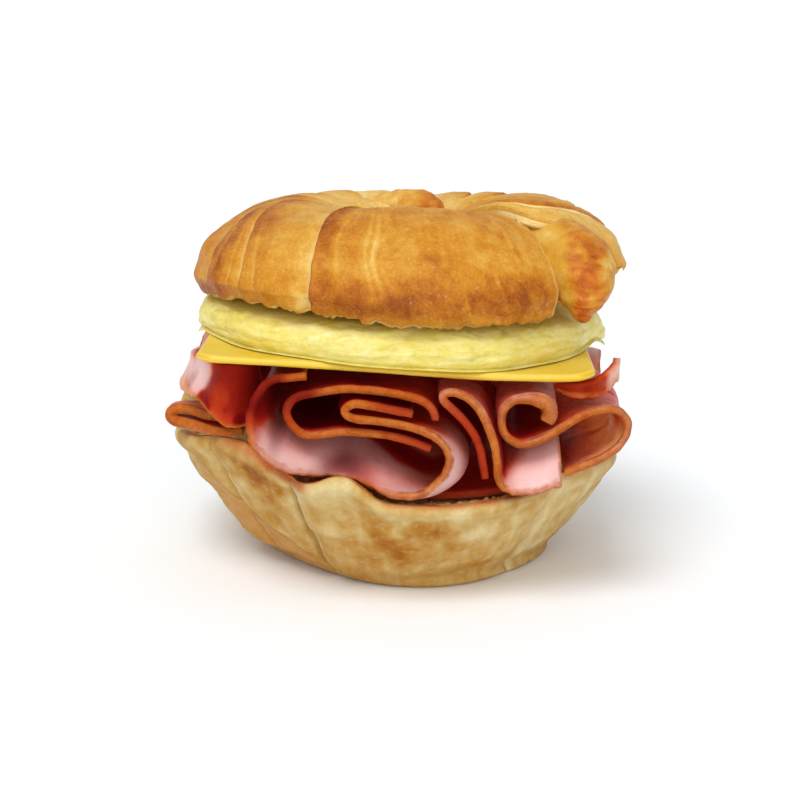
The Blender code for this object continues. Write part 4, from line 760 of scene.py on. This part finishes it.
def crown_rows(angle):
    """Control outline for an array of angles: rows of turned angle, radius and height."""
    radius, ridge, lip = (around(table, angle, 4) for table in (CROWN_RADIUS, CROWN_RIDGE, CROWN_LIP))
    twist, width = (around(table, angle, 3) for table in (CROWN_TWIST, CROWN_TWIST_WIDTH))
    wide = 0.5 * lip + 37.5
    relief = crown_swell(angle)
    rows = [(radius * 0.0, np.full_like(angle, CROWN_PIT_HEIGHT))]
    for share, height in CROWN_INSIDE:
        z = CROWN_PIT_HEIGHT + (ridge - CROWN_PIT_HEIGHT) * height
        rows.append((share * radius, z + relief * limit((share - 0.12) / 0.3)))
    for share, height in CROWN_OUTSIDE:
        lean = share ** 6
        z = wide + (ridge - wide) * height
        rows.append((share * radius + relief * lean, z + relief * (1.0 - lean)))
    top_count = len(rows)
    rows += [(radius - 0.8 + relief, lip + 2.4), (radius * 0.95 + relief * 0.7, lip)]
    lip_row = len(rows) - 1
    for share in (0.86, 0.6, 0.3, 0.0):
        x = CROWN_MIDDLE[0] + share * radius * np.cos(np.radians(angle))
        face = CROWN_FACE_HEIGHT + CROWN_FACE_RISE * (x + 45.0)
        rows.append((share * radius, np.maximum(face, lip - 0.3) if share > 0.8 else face))
    turned = []
    for index, (out, z) in enumerate(rows):
        inward = limit((radius - out) / width) ** CROWN_TWIST_CURVE
        turn = angle - twist * inward if index < top_count else angle
        turned.append(np.stack([turn, out, z], axis=-1))
    return np.array(turned), lip_row


def wrinkles(angle, row, width):
    """1 on each line down the crown, fading beside it and at its ends, and summed."""
    total = 0.0
    for top, foot, first, last in CROWN_WRINKLES:
        line = top + (foot - top) * limit((row - first) / (last - first))
        total += bell(angle - line, width) * hump(row, first - 0.5, first + 0.5, last - 0.4, last + 0.6)
    return total


def crown_bake(angle, row, spots, index, after, before):
    """How brown the crust is: 0 for cream, 1 for dark brown."""
    wrap = in_crown_wrap(angle)
    right = angle > 308
    outer = rise(row, 3.6, 5.2)
    crest = bell(np.maximum(after - 1.2, 0.0), 4.5, 1.5) * (0.12 + 0.22 * rise(row, 10.5, 6.5))
    crest *= np.where(right, 0.34, 1.0)
    pale_width = np.where(wrap, 1.6, np.where(angle > 221, 6.5, 5.0))
    pale = bell(before, pale_width, 1.4) * np.where(wrap, 0.10, np.where(right, 0.12, 0.24))
    bake = np.array(CROWN_TONES)[index] + (crest - pale) * outer
    bake += np.where(wrap, 0.22, 0.08) * rise(row, 9.8, 12.0)
    # Painted light: a paler band just above the lip brightens the down-turned lip
    bake -= np.where(wrap, 0.10, 0.04) * rise(row, 12.8, 13.8)
    bake -= 0.10 * hump(angle, 28.0, 60.0, 190.0, 215.0) * rise(row, 9.0, 12.0)
    warp = 2.0 * waves(spots, 17.0, 301)
    bake += 0.02 * rings(angle, 2.6, 302, warp) + 0.025 * rings(angle, 9.0, 303, warp)
    bake += wave_sum(spots, (0.05, 14.0, 304), (0.045, 6.0, 305), (0.03, 3.0, 306, 20))
    bake += patches(CROWN_PATCHES, angle + warp * 0.4, row, spots, 4.0, 0, 0.5)
    bent = angle + 0.5 * warp
    bake += 0.06 * wrinkles(bent - 1.1, row, 0.6) - 0.13 * wrinkles(bent, row, 0.55)
    right_side = np.maximum(rise(angle, 300.0, 322.0), rise(angle, 80.0, 50.0))
    return bake * (0.35 + 0.65 * outer) + (1.0 - outer) * (0.1 + 0.26 * right_side)


def crown():
    angle = ring_angles(CROWN_SEAMS, 0.16)
    rows, lip_row = crown_rows(angle)
    ragged = np.maximum(0.14 * rings(angle, 2.8, 311) + 0.34 * rings(angle, 8.0, 312) - 0.15, -0.7)
    spots, normal, flow, row, radius, quads = ring_skin(
        rows, angle, 9, CROWN_MIDDLE,
        lambda place: ragged * hump(place, lip_row - 1.6, lip_row - 0.2, lip_row + 0.3, lip_row + 1.0))
    index, after, before = segment_place(flow, CROWN_SEAMS)
    wrapped = flow % 360.0
    crust = rise(row, lip_row + 0.35, lip_row - 0.05)
    lumps = wave_sum(spots, (0.24, 17.0, 3), (0.12, 7.0, 4), (0.05, 2.6, 5, 20))
    sheets = 0.035 * rings(flow, 3.2, 313, 1.5 * waves(spots, 16.0, 6))
    lift = -0.36 + np.clip(lumps + sheets, -0.5, 0.34) + 0.12 * limit(wrinkles(wrapped, row, 0.7))
    lift *= limit(radius / 14.0) * (0.4 + 0.6 * crust)
    keep = {"bake": crown_bake(wrapped, row, spots, index, after, before), "crust": crust,
            "thread": bell(before, 0.55) * rise(row, 4.5, 6.0) * crust,
            # painted shadow along each seam groove
            "painted_seam_shadow": bell(after, 0.45) * rise(row, 4.0, 5.5) * crust,
            # darker band at the lip: browner crust edge and painted shade
            "lip_brown_and_shade": rise(row, lip_row - 0.55, lip_row - 0.1)}
    return make_mesh("crown_skin", spots + normal * lift[:, None], quads, keep)


def tube(name, path, sides, steps, skin):
    """Tapered closed tube with a round end, and a skin shaped by `skin`."""
    line = curve_through(path, steps)
    centre, radius = line[:, :3], line[:, 3]
    forward = unit(np.gradient(centre, axis=0))
    side = unit(np.cross(forward, np.array([0.0, 0.0, 1.0])))
    over = np.cross(side, forward)
    turns = np.linspace(0.0, 2.0 * math.pi, sides, endpoint=False)[:, None]
    circle = [np.cos(turns) * a + np.sin(turns) * b for a, b in zip(side, over)]
    stack = [spot + r * ring for spot, r, ring in zip(centre, radius, circle)]
    for t in np.arange(1, 9) / 8.0 * math.pi / 2.0:
        spot = centre[-1] + forward[-1] * radius[-1] * 0.8 * math.sin(t)
        stack.append(spot + radius[-1] * max(math.cos(t), 0.02) * circle[-1])
    spots = np.concatenate(stack)
    middles = np.concatenate([centre, np.repeat(centre[-1:], 8, axis=0)])
    normal = unit(spots - np.repeat(middles, sides, axis=0), 1e-6)
    place = np.repeat(np.arange(len(stack)) / (len(stack) - 1.0), sides)
    lift, keep = skin(spots, normal, place)
    j, i = np.meshgrid(np.arange(len(stack) - 1), np.arange(sides), indexing="ij")
    a = j * sides + i
    b = j * sides + (i + 1) % sides
    quads = np.stack([a, b, b + sides, a + sides], axis=-1).reshape(-1, 4)
    return make_mesh(name, spots + normal * lift[:, None], quads, keep)


def horn_skin(spots, normal, place):
    """Wrinkled dark patch down the front of the horn, between a yellow and a cream side."""
    x, y, z = spots.T
    front = rise(-normal[:, 1], -0.1, 0.45)
    width = np.interp(z, [63, 66, 70, 76, 82, 86], [3.4, 3.4, 3.9, 4.8, 4.6, 3.6])
    middle = np.interp(z, [64, 70, 78], [41.4, 41.8, 41.4]) + 0.5 * waves(spots, 5.0, 403)
    patch = bell(np.abs(x - middle), width, 2.2) * front * (0.25 + 0.75 * rise(z, 82.0, 77.0))
    patch = limit(patch * (0.9 + wave_sum(spots, (0.4, 3.2, 406, 20), (0.25, 7.0, 407))))
    patch = np.maximum(patch, rise(z, 68.0, 65.5) * 0.9 * bell(x - 41.6, 3.6))
    slant = z + 0.2 * (x - 41.0) + 0.4 * waves(spots, 6.0, 401)
    folds = (np.sin(slant * 3.3) + 0.6 * np.sin(slant * 5.9 + 1.0)) * patch
    lift = -0.3 + 0.09 * folds + wave_sum(spots, (0.22, 7.0, 21), (0.10, 3.0, 22))
    bake = 0.42 + 0.38 * patch + wave_sum(spots, (0.12, 6.0, 404), (0.08, 2.6, 405, 20))
    top = rise(z, 77.0, 81.0) * rise(normal[:, 2], 0.3, 0.8)
    bake += 0.07 * folds + 0.2 * top * rise(x, 34.0, 38.0)
    return lift, {"bake": bake, "patch": patch, "yellow": rise(x, 38.6, 36.0) * front}


def tip_skin(spots, normal, place):
    lift = -0.2 + wave_sum(spots, (0.2, 5.0, 31), (0.08, 2.0, 32))
    bake = 0.3 + 0.4 * rise(place, 0.3, 0.75) + 0.1 * waves(spots, 3.0, 33)
    return lift, {"bake": bake, "patch": 0.5 * rise(place, 0.4, 0.8), "yellow": np.zeros(len(spots))}


# Croissant bottom
def heel_rows(angle):
    """Control outline from the middle of the inside, over the rim, to the middle of the base."""
    radius, rim, foot = around(HEEL_RADIUS, angle, 4), around(HEEL_RIM, angle, 3), around(HEEL_FOOT, angle)
    index, after, before = segment_place(angle, HEEL_SEAMS)
    notch = np.array(HEEL_NOTCH)
    relief = HEEL_BULGE * np.sin(np.pi * limit(after / (after + before))) ** 0.6
    relief -= notch[index] * np.exp(-after / 3.0)
    relief -= notch[(index + 1) % len(HEEL_SEAMS)] * np.exp(-before / 3.0)
    slimness = 0.5 - 0.5 * np.cos(np.radians(angle))
    none = np.zeros_like(angle)
    rows = [(none, none + HEEL_FACE_HEIGHT)]
    for share, height in reversed(HEEL_INSIDE):
        rows.append((share * radius, HEEL_FACE_HEIGHT + (rim - HEEL_FACE_HEIGHT) * height))
    rim_row = len(rows) - 1
    for height, slim, full in reversed(HEEL_PROFILE[1:]):
        swell = relief * math.sin(math.pi * min(height * 0.6 + 0.08, 0.5))
        rows.append(((slim * slimness + full * (1.0 - slimness)) * radius + swell, height * rim))
    rows += [(foot, none), (foot * 0.5, none), (none, none)]
    return np.array([np.stack([angle, out, z], axis=-1) for out, z in rows]), rim_row


def heel_bake(angle, row, spots, after):
    """How brown the crust is: 0 for cream, 1 for dark brown."""
    warp = 2.2 * waves(spots, 15.0, 501)
    bake = 0.34 + wave_sum(spots, (0.06, 24.0, 502), (0.08, 10.0, 503), (0.07, 4.5, 504))
    bake += 0.16 * rise(row, 8.5, 12.5) + 0.05 * rings(angle, 6.0, 505, warp)
    bake += patches(HEEL_PATCHES, angle + warp * 0.5, row + warp * 0.06, spots, 4.5, 7, 0.6)
    side = rise(angle, 330.0, 345.0) + rise(angle, 200.0, 185.0)
    bake += 0.14 * side * rise(row, 10.5, 12.5) + 0.10 * limit(side) * bell(after - 7.0, 5.0)
    bake -= 0.22 * bell(after - 1.5, 1.6) * rise(row, 6.0, 7.5)
    bake += 0.14 * hump(angle, 196.0, 204.0, 218.0, 228.0)
    return bake - 0.12 * hump(angle, 292.0, 304.0, 330.0, 345.0)


def heel():
    angle = ring_angles(HEEL_SEAMS, 0.15)
    rows, rim_row = heel_rows(angle)
    spots, normal, flow, row, _, quads = ring_skin(rows, angle, 10, HEEL_MIDDLE, lambda place: 0.0)
    _, after, before = segment_place(flow, HEEL_SEAMS)
    wrapped = flow % 360.0
    crust = rise(row, rim_row - 0.3, rim_row + 0.2)
    inside = 1.0 - crust
    bake = heel_bake(wrapped, row, spots, after)
    fold = np.interp(wrapped, [198, 206, 214, 224, 236, 239], [6.6, 8.6, 10.0, 11.2, 12.2, 12.6])
    layer = hump(wrapped, 196.0, 202.0, 236.0, 240.0)
    line = bell(row - fold, 0.14) * layer
    shelf = rise(row, fold + 0.05, fold + 0.3) * layer
    lumps = wave_sum(spots, (0.34, 15.0, 41), (0.2, 6.0, 42), (0.10, 2.4, 43, 20))
    crumbs = wave_sum(spots, (1.0, 2.2, 44, 24), (0.6, 1.2, 45, 24))
    lift = -0.45 + np.clip(lumps, -0.9, 0.42) * (1.0 - 0.4 * inside) - 0.5 * shelf - 0.3 * line
    lift += inside * 0.5 * crumbs * rise(row, 1.0, 3.0)
    front = hump(wrapped, 200.0, 225.0, 325.0, 340.0)
    lift -= 0.6 * bell(np.minimum(after, before), 0.9) * (0.3 + 0.7 * front) * crust
    lift = np.minimum(lift, 0.0) * rise(spots[:, 2], 0.2, 3.0)
    lift *= 1.0 - 0.85 * hump(row, 4.2, 5.2, 6.8, 8.0)
    spots = spots + normal * lift[:, None]
    spots[:, 2] = np.maximum(spots[:, 2], 0.0)
    # Painted red shade on the bread under the ham's rims and in the bowl
    painted_red_shade = hump(wrapped, 216.0, 226.0, 244.0, 250.0) * rise(row, 7.3, 6.2)
    painted_red_shade += 0.6 * hump(wrapped, 262.0, 268.0, 304.0, 314.0) * rise(row, 6.6, 6.0)
    painted_red_shade += 0.7 * hump(wrapped, 242.0, 247.0, 262.0, 266.0) * rise(row, 6.2, 5.6)
    painted_red_shade *= rise(row, 2.0, 3.5) * (1.0 + 0.4 * waves(spots, 5.0, 46))
    keep = {"bake": bake, "crust": crust, "line": line, "shelf": shelf, "painted_red_shade": limit(painted_red_shade),
            # painted shade in the creases at the seams
            "painted_crease_shade": bell(before, 0.6) * crust * (0.3 + 0.7 * front),
            "flour": bell(after - 0.7, 0.8) * crust * front}
    return make_mesh("heel_skin", spots, quads, keep)


# Egg and cheese
def cheese_top(x):
    return along(curve_through(CHEESE_TOP, 8), x)


def egg():
    turn = np.radians(np.linspace(0.0, 360.0, 720, endpoint=False))[:, None]
    wobble = 0.5 * np.sin(5 * turn + 1.0) + 0.4 * np.sin(11 * turn + 2.0)
    share, level = limit(curve_through(EGG_PROFILE, 12)).T
    x = (EGG_RADIUS_X + wobble) * share * np.cos(turn)
    y = (EGG_RADIUS_Y + wobble) * share * np.sin(turn)
    under = cheese_top(x) + EGG_GAP
    over = EGG_TOP - EGG_TOP_FALL * x
    droop = EGG_DROOP * np.clip((np.abs(x) - EGG_DROOP_START) / 4.0, 0.0, 1.0) ** 1.5
    grid = np.stack([x, y, under + (over - under) * level - droop * (1.0 - 0.25 * level)], axis=-1)
    spots = grid.reshape(-1, 3)
    side = np.tile(rise(share, 0.8, 0.95) * rise(level, 0.02, 0.26), len(turn))
    pits = np.clip(wave_sum(spots, (1.0, 3.2, 53, 22), (0.5, 1.7, 54, 22)) - 0.7, 0.0, 1.5)
    lift = -0.2 + wave_sum(spots, (0.3, 10.0, 51), (0.10, 3.4, 52, 20)) - 0.16 * pits
    lift += 0.08 * np.sin(spots[:, 2] * 2.6 + 1.5 * waves(spots, 18.0, 55))
    spots = spots + normals_of(grid, EGG_MIDDLE) * (np.clip(lift, -0.9, 0.1) * side)[:, None]
    quads = grid_quads(len(turn), len(share), True)
    return make_mesh("egg_skin", spots, quads, {"side": side, "pits": pits})


def cheese():
    ease = np.linspace(-1.0, 1.0, 150)
    half = CHEESE_SIDE / 2.0 - 0.15
    u, v = np.meshgrid(*[half * (0.7 * ease + 0.3 * np.sin(ease * math.pi / 2.0))] * 2)
    over_u, over_v = (np.clip((np.abs(w) - half) / CHEESE_CORNER + 1.0, 0.0, 1.0) for w in (u, v))
    flat_x, flat_y = (
        w - np.sign(w) * (1.0 - np.sqrt(1.0 - other ** 2 / 2.0)) * CHEESE_CORNER * own
        for w, own, other in ((u, over_u, over_v), (v, over_v, over_u)))
    x = flat_x * math.cos(CHEESE_TURN) - flat_y * math.sin(CHEESE_TURN)
    y = flat_x * math.sin(CHEESE_TURN) + flat_y * math.cos(CHEESE_TURN)
    top = cheese_top(x)
    gap = half - np.maximum(np.abs(u), np.abs(v))
    round_corner = CHEESE_CORNER * limit(1.0 - np.hypot(over_u, over_v))
    near = np.minimum(np.where((over_u > 0) & (over_v > 0), round_corner, gap), gap + 0.4)
    edge = limit(1.0 - near / 0.9)
    round_off = 0.75 * (1.0 - np.sqrt(limit(1.0 - edge ** 2)))
    flat = np.stack([x, y, top], axis=-1).reshape(-1, 3)
    dent = wave_sum(flat, (0.06, 18.0, 61), (0.03, 6.0, 62)).reshape(x.shape) - 0.08
    dent = np.minimum(dent, 0.0)
    upper = np.stack([x, y, top - round_off + dent], axis=-1)
    lower = np.stack([x, y, top - CHEESE_THICKNESS + 0.5 * round_off - dent], axis=-1)
    return two_sided("cheese_skin", upper, lower, {"edge": np.tile(edge.ravel(), 2)})


# Ham
def soft_spot(points, x, z, wide, tall, lean, power=1.5):
    """1 in the middle of a leaning oval in the x-z plane, fading to 0 outside it."""
    turn = math.radians(lean)
    right = points[:, 0] - x
    up = points[:, 2] - z
    far = (right * math.cos(turn) + up * math.sin(turn)) ** 2 / wide ** 2
    far += (up * math.cos(turn) - right * math.sin(turn)) ** 2 / tall ** 2
    return np.exp(-far ** power)


def ham_sway(x, y, z):
    inward = limit((y + 36.0) / 20.0)
    inward = inward * limit((z - 24.0) / 8.0) * limit((52.0 - 0.05 * x - z) / 6.0)
    return (x + 1.5 * np.sin(y / 13.0 + z / 14.0) * inward,
            z + 0.8 * np.sin(y / 11.0 + x / 15.0 + 1.0) * inward)


def ragged_edge(run, seed):
    """Unevenness of a cut edge along its length, 0 to about 0.5 mm."""
    rng = np.random.default_rng(seed)
    total = np.zeros(len(run))
    for size in (14.0, 9.0, 5.5, 3.4, 2.1):
        total += rng.uniform(0.03, 0.08) * np.sin(run * 2.0 * math.pi / size + rng.uniform(0.0, 6.28))
    return total - total.min()


def ham_sheet(points, front, back, facing, depths, seed):
    """Folded slice: a grid of points, the distance to its front or back edge and along it."""
    turn = math.radians(facing)
    length = path_length(points)
    count = int(length / SLICE_STEP) + 2
    path_x, path_z, lean_x, lean_z, setback = smooth_path(points, count).T
    full = 1.0 - math.exp(-14.0 / HAM_LEAN_DEPTH)
    run = np.linspace(0.0, length, count)
    first = front + setback + ragged_edge(run, seed)
    last = back - setback - ragged_edge(run, seed + 40)
    y = first + depths[:, None] * (last - first)
    behind = y - (front + setback)
    ahead = (back - setback) - y
    lean = (1.0 - np.exp(-behind / HAM_LEAN_DEPTH)) / full - 0.5 * np.exp(-ahead / HAM_LEAN_DEPTH)
    x = path_x + lean_x * lean
    z = path_z + lean_z * lean
    if facing == 0:
        x, z = ham_sway(x, y, z)
    grid = np.stack([x * math.cos(turn) - y * math.sin(turn), x * math.sin(turn) + y * math.cos(turn), z],
                    axis=-1)
    return grid, np.minimum(y - first, last - y), np.broadcast_to(run, y.shape)


def ham_hanging(points, rows, seed):
    """Slice that hangs down: a grid of points, and the distance to its foot and along it."""
    length = path_length(points)
    count = int(length / SLICE_STEP) + 2
    path_x, path_y, foot, head, out = smooth_path(points, count).T
    run = np.linspace(0.0, length, count)
    foot = foot + 1.6 * ragged_edge(run, seed)
    share = np.linspace(0.0, 1.0, rows)[:, None]
    edge = share * (head - foot)
    x = path_x + out * (1.0 - share) ** 1.5
    grid = np.stack([x, path_y + 0.8 * np.sin(4.0 * share), foot + edge], axis=-1)
    return grid, edge, np.broadcast_to(run, edge.shape)


def thick_sheet(name, grid, edge, run, seed, hanging):
    """Closed slice of ham with soft edges, its shade (partly painted shade), its painted glow, its
    brownness, its painted shadows and its rind.
    """
    normal = unit(np.cross(np.gradient(grid, axis=1), np.gradient(grid, axis=0)))
    length = run[:, -1:]
    place = run / length
    rim = np.minimum(edge, np.minimum(run, length - run))
    half = HAM_THICKNESS / 2.0 - 0.05 + (0.0 if hanging else 0.1) * rise(edge, 2.5, 0.5)
    half = half * np.sqrt(np.clip(1.0 - (1.0 - limit(rim / 0.4)) ** 2, 0.62, 1.0))
    swell, under = (along(table.get(name, [(0, 1.0)]), place) for table in (HAM_SWELL, HAM_SWELL_UNDER))
    flat = grid.reshape(-1, 3)
    uneven, fine, deep_in, aside = (waves(flat, size, seed + k).reshape(edge.shape)
                                    for k, size in enumerate((8.0, 2.5, 7.0, 9.0)))
    dent = 0.10 * uneven + 0.05 * fine - 0.05
    upper = grid + normal * (half * swell + np.minimum(dent, 0.0))[..., None]
    lower = grid - normal * (half * under - np.maximum(dent, 0.0))[..., None]
    depth = np.maximum(edge + 0.5 * deep_in, 0.0).ravel()
    drift = (place + 0.008 * aside).ravel()
    edge = edge.ravel()
    near = rise(edge, 0.6, 2.5)
    looks = []
    for side, table in enumerate(HAM_FACES.get(name, HAM_FACE_OTHER)):
        marks, *columns = zip(*filled(table))
        shade, deep, reach, brown = (np.interp(drift, marks, column) for column in columns)
        # Painted shade: the meat darkens with depth behind the cut edge
        shade = shade + (deep - shade) * rise(depth / reach, 0.0, 1.0)
        for *spot, tone, baked, strength in HAM_SPOTS.get(name, []) if side == 0 else []:
            share = strength * soft_spot(flat, *spot, 3.0)
            shade = shade + (tone - shade) * share
            brown = brown + (baked - brown) * share
        # Painted shade: far behind the edge every lying slice is painted dark red
        if not hanging:
            shade = np.maximum(shade, 0.82 * rise(edge, 12.0, 26.0))
        # Painted glow: a weak glow over the meat behind the edge, stronger where it is brown or pale,
        # standing in for light through the thin meat
        painted_glow = 0.64 * np.clip(brown - 0.5, 0.0, 0.5) + 0.1 * limit(1.0 - 2.2 * shade)
        painted_glow = (0.06 * rise(edge, 1.0, 5.0) + near * painted_glow) * (0.3 if hanging else 1.0)
        looks.append((shade, brown, painted_glow))
    keep = {key: np.concatenate(pair) for key, pair in zip(("shade", "brown", "painted_glow"), zip(*looks))}
    # Painted mauve shadows from HAM_SHADOWS, on the first side only
    mauve = np.zeros(2 * len(flat))
    for *spot, strength in HAM_SHADOWS.get(name, []):
        mauve[:len(flat)] = np.maximum(mauve[:len(flat)], strength * soft_spot(flat, *spot))
    rind = along(HAM_RINDS.get(name, [(0, 0.95)]), place)
    keep.update(rim=np.tile(rim.ravel(), 2), rind=np.tile(rind.ravel(), 2), mauve=mauve)
    return two_sided(name + "_meat", upper, lower, keep)


def dress(piece, skin, node):
    piece.data.materials.append(skin)
    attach(piece, "root")
    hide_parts(node)


def ham_pile(skin):
    steps = np.array(HAM_EDGE_STEPS)
    for seed, (name, points, front, back, facing) in enumerate(HAM_SLICES):
        size = back - front - 2.0 * max(point[4] for point in filled(points))
        border = steps / size
        border = border[border < 0.45]
        count = max(4, int(size * (1.0 - 2.0 * border[-1]) / 1.6))
        middle = np.linspace(border[-1], 1.0 - border[-1], count)
        depths = np.concatenate([border[:-1], middle, (1.0 - border[:-1])[::-1]])
        sheet = ham_sheet(points, front, back, facing, depths, 60 + seed)
        dress(thick_sheet(name, *sheet, 100 + 5 * seed, False), skin, name)
    for seed, (name, points) in enumerate(HAM_HANGINGS):
        if name == "ham_wall":
            points = [(x, y, foot - along(HAM_WALL_DROP, x), *rest) for x, y, foot, *rest in points]
        sheet = ham_hanging(points, HAM_HANGING_ROWS, 90 + seed)
        dress(thick_sheet(name, *sheet, 180 + 5 * seed, True), skin, name)


dress(crown(), crown_material(), "croissant_top")
horn = horn_material()
dress(tube("horn_skin", HORN_PATH, 96, 20, horn_skin), horn, "croissant_top")
dress(tube("tip_skin", TIP_PATH, 48, 12, tip_skin), horn, "croissant_top")
dress(egg(), egg_material(), "egg_patty")
dress(cheese(), cheese_material(), "cheese_slice")
dress(heel(), heel_material(), "croissant_bottom")
ham_pile(ham_material())


# Floor, light and camera
FLOOR_REACH = 80.0
FLOOR_COLOUR = (0.945, 0.975, 1.0, 1.0)


def floor():
    mesh = bpy.data.meshes.new("floor")
    corners = [(x * FLOOR_REACH, y * FLOOR_REACH, 0.0) for x, y in ((-1, -1), (1, -1), (1, 1), (-1, 1))]
    mesh.from_pydata(corners, [], [(0, 1, 2, 3)])
    skin = Skin("floor", 0.9, 0.1, 0.0, (1.0, 1.0, 1.0), 1.0)
    skin.set(skin.shader, {"Base Color": FLOOR_COLOUR})
    mesh.materials.append(skin.material)
    place_in_scene(bpy.data.objects.new("floor", mesh))


def soft_sun(name, strength, from_left, height, spread_angle):
    lamp = bpy.data.lights.new(name, "SUN")
    lamp.energy = strength
    lamp.angle = math.radians(spread_angle)
    thing = place_in_scene(bpy.data.objects.new(name, lamp))
    turn = math.radians(from_left)
    up = math.radians(height)
    way = Vector((math.sin(turn) * math.cos(up), math.cos(turn) * math.cos(up), -math.sin(up)))
    thing.rotation_euler = way.to_track_quat("-Z", "Y").to_euler()


def world_light(strength):
    world = bpy.data.worlds.new("studio")
    world.use_nodes = True
    sky = world.node_tree.nodes["Background"]
    sky.inputs["Color"].default_value = (1.0, 1.0, 1.0, 1.0)
    sky.inputs["Strength"].default_value = strength
    bpy.context.scene.world = world


def camera(distance, height, target_z, focal_length):
    """Camera in front of the food: distance from its target, degrees above it, height of the target."""
    lens = bpy.data.cameras.new("camera")
    lens.sensor_width = 36.0
    lens.lens = focal_length
    lens.clip_start = 0.01
    lens.clip_end = 200.0
    thing = place_in_scene(bpy.data.objects.new("camera", lens))
    turn = math.radians(height)
    thing.location = Vector((0.0, -distance * math.cos(turn), target_z + distance * math.sin(turn))) * MM
    thing.rotation_euler = (math.pi / 2 - turn, 0.0, 0.0)
    bpy.context.scene.camera = thing


floor()
soft_sun("key", strength=1.6, from_left=25.0, height=58.0, spread_angle=30.0)
soft_sun("fill", strength=0.95, from_left=-8.0, height=18.0, spread_angle=50.0)
world_light(strength=0.58)
camera(distance=420.0, height=13.5, target_z=37.3, focal_length=76.38)
bpy.context.scene.view_settings.view_transform = "Standard"
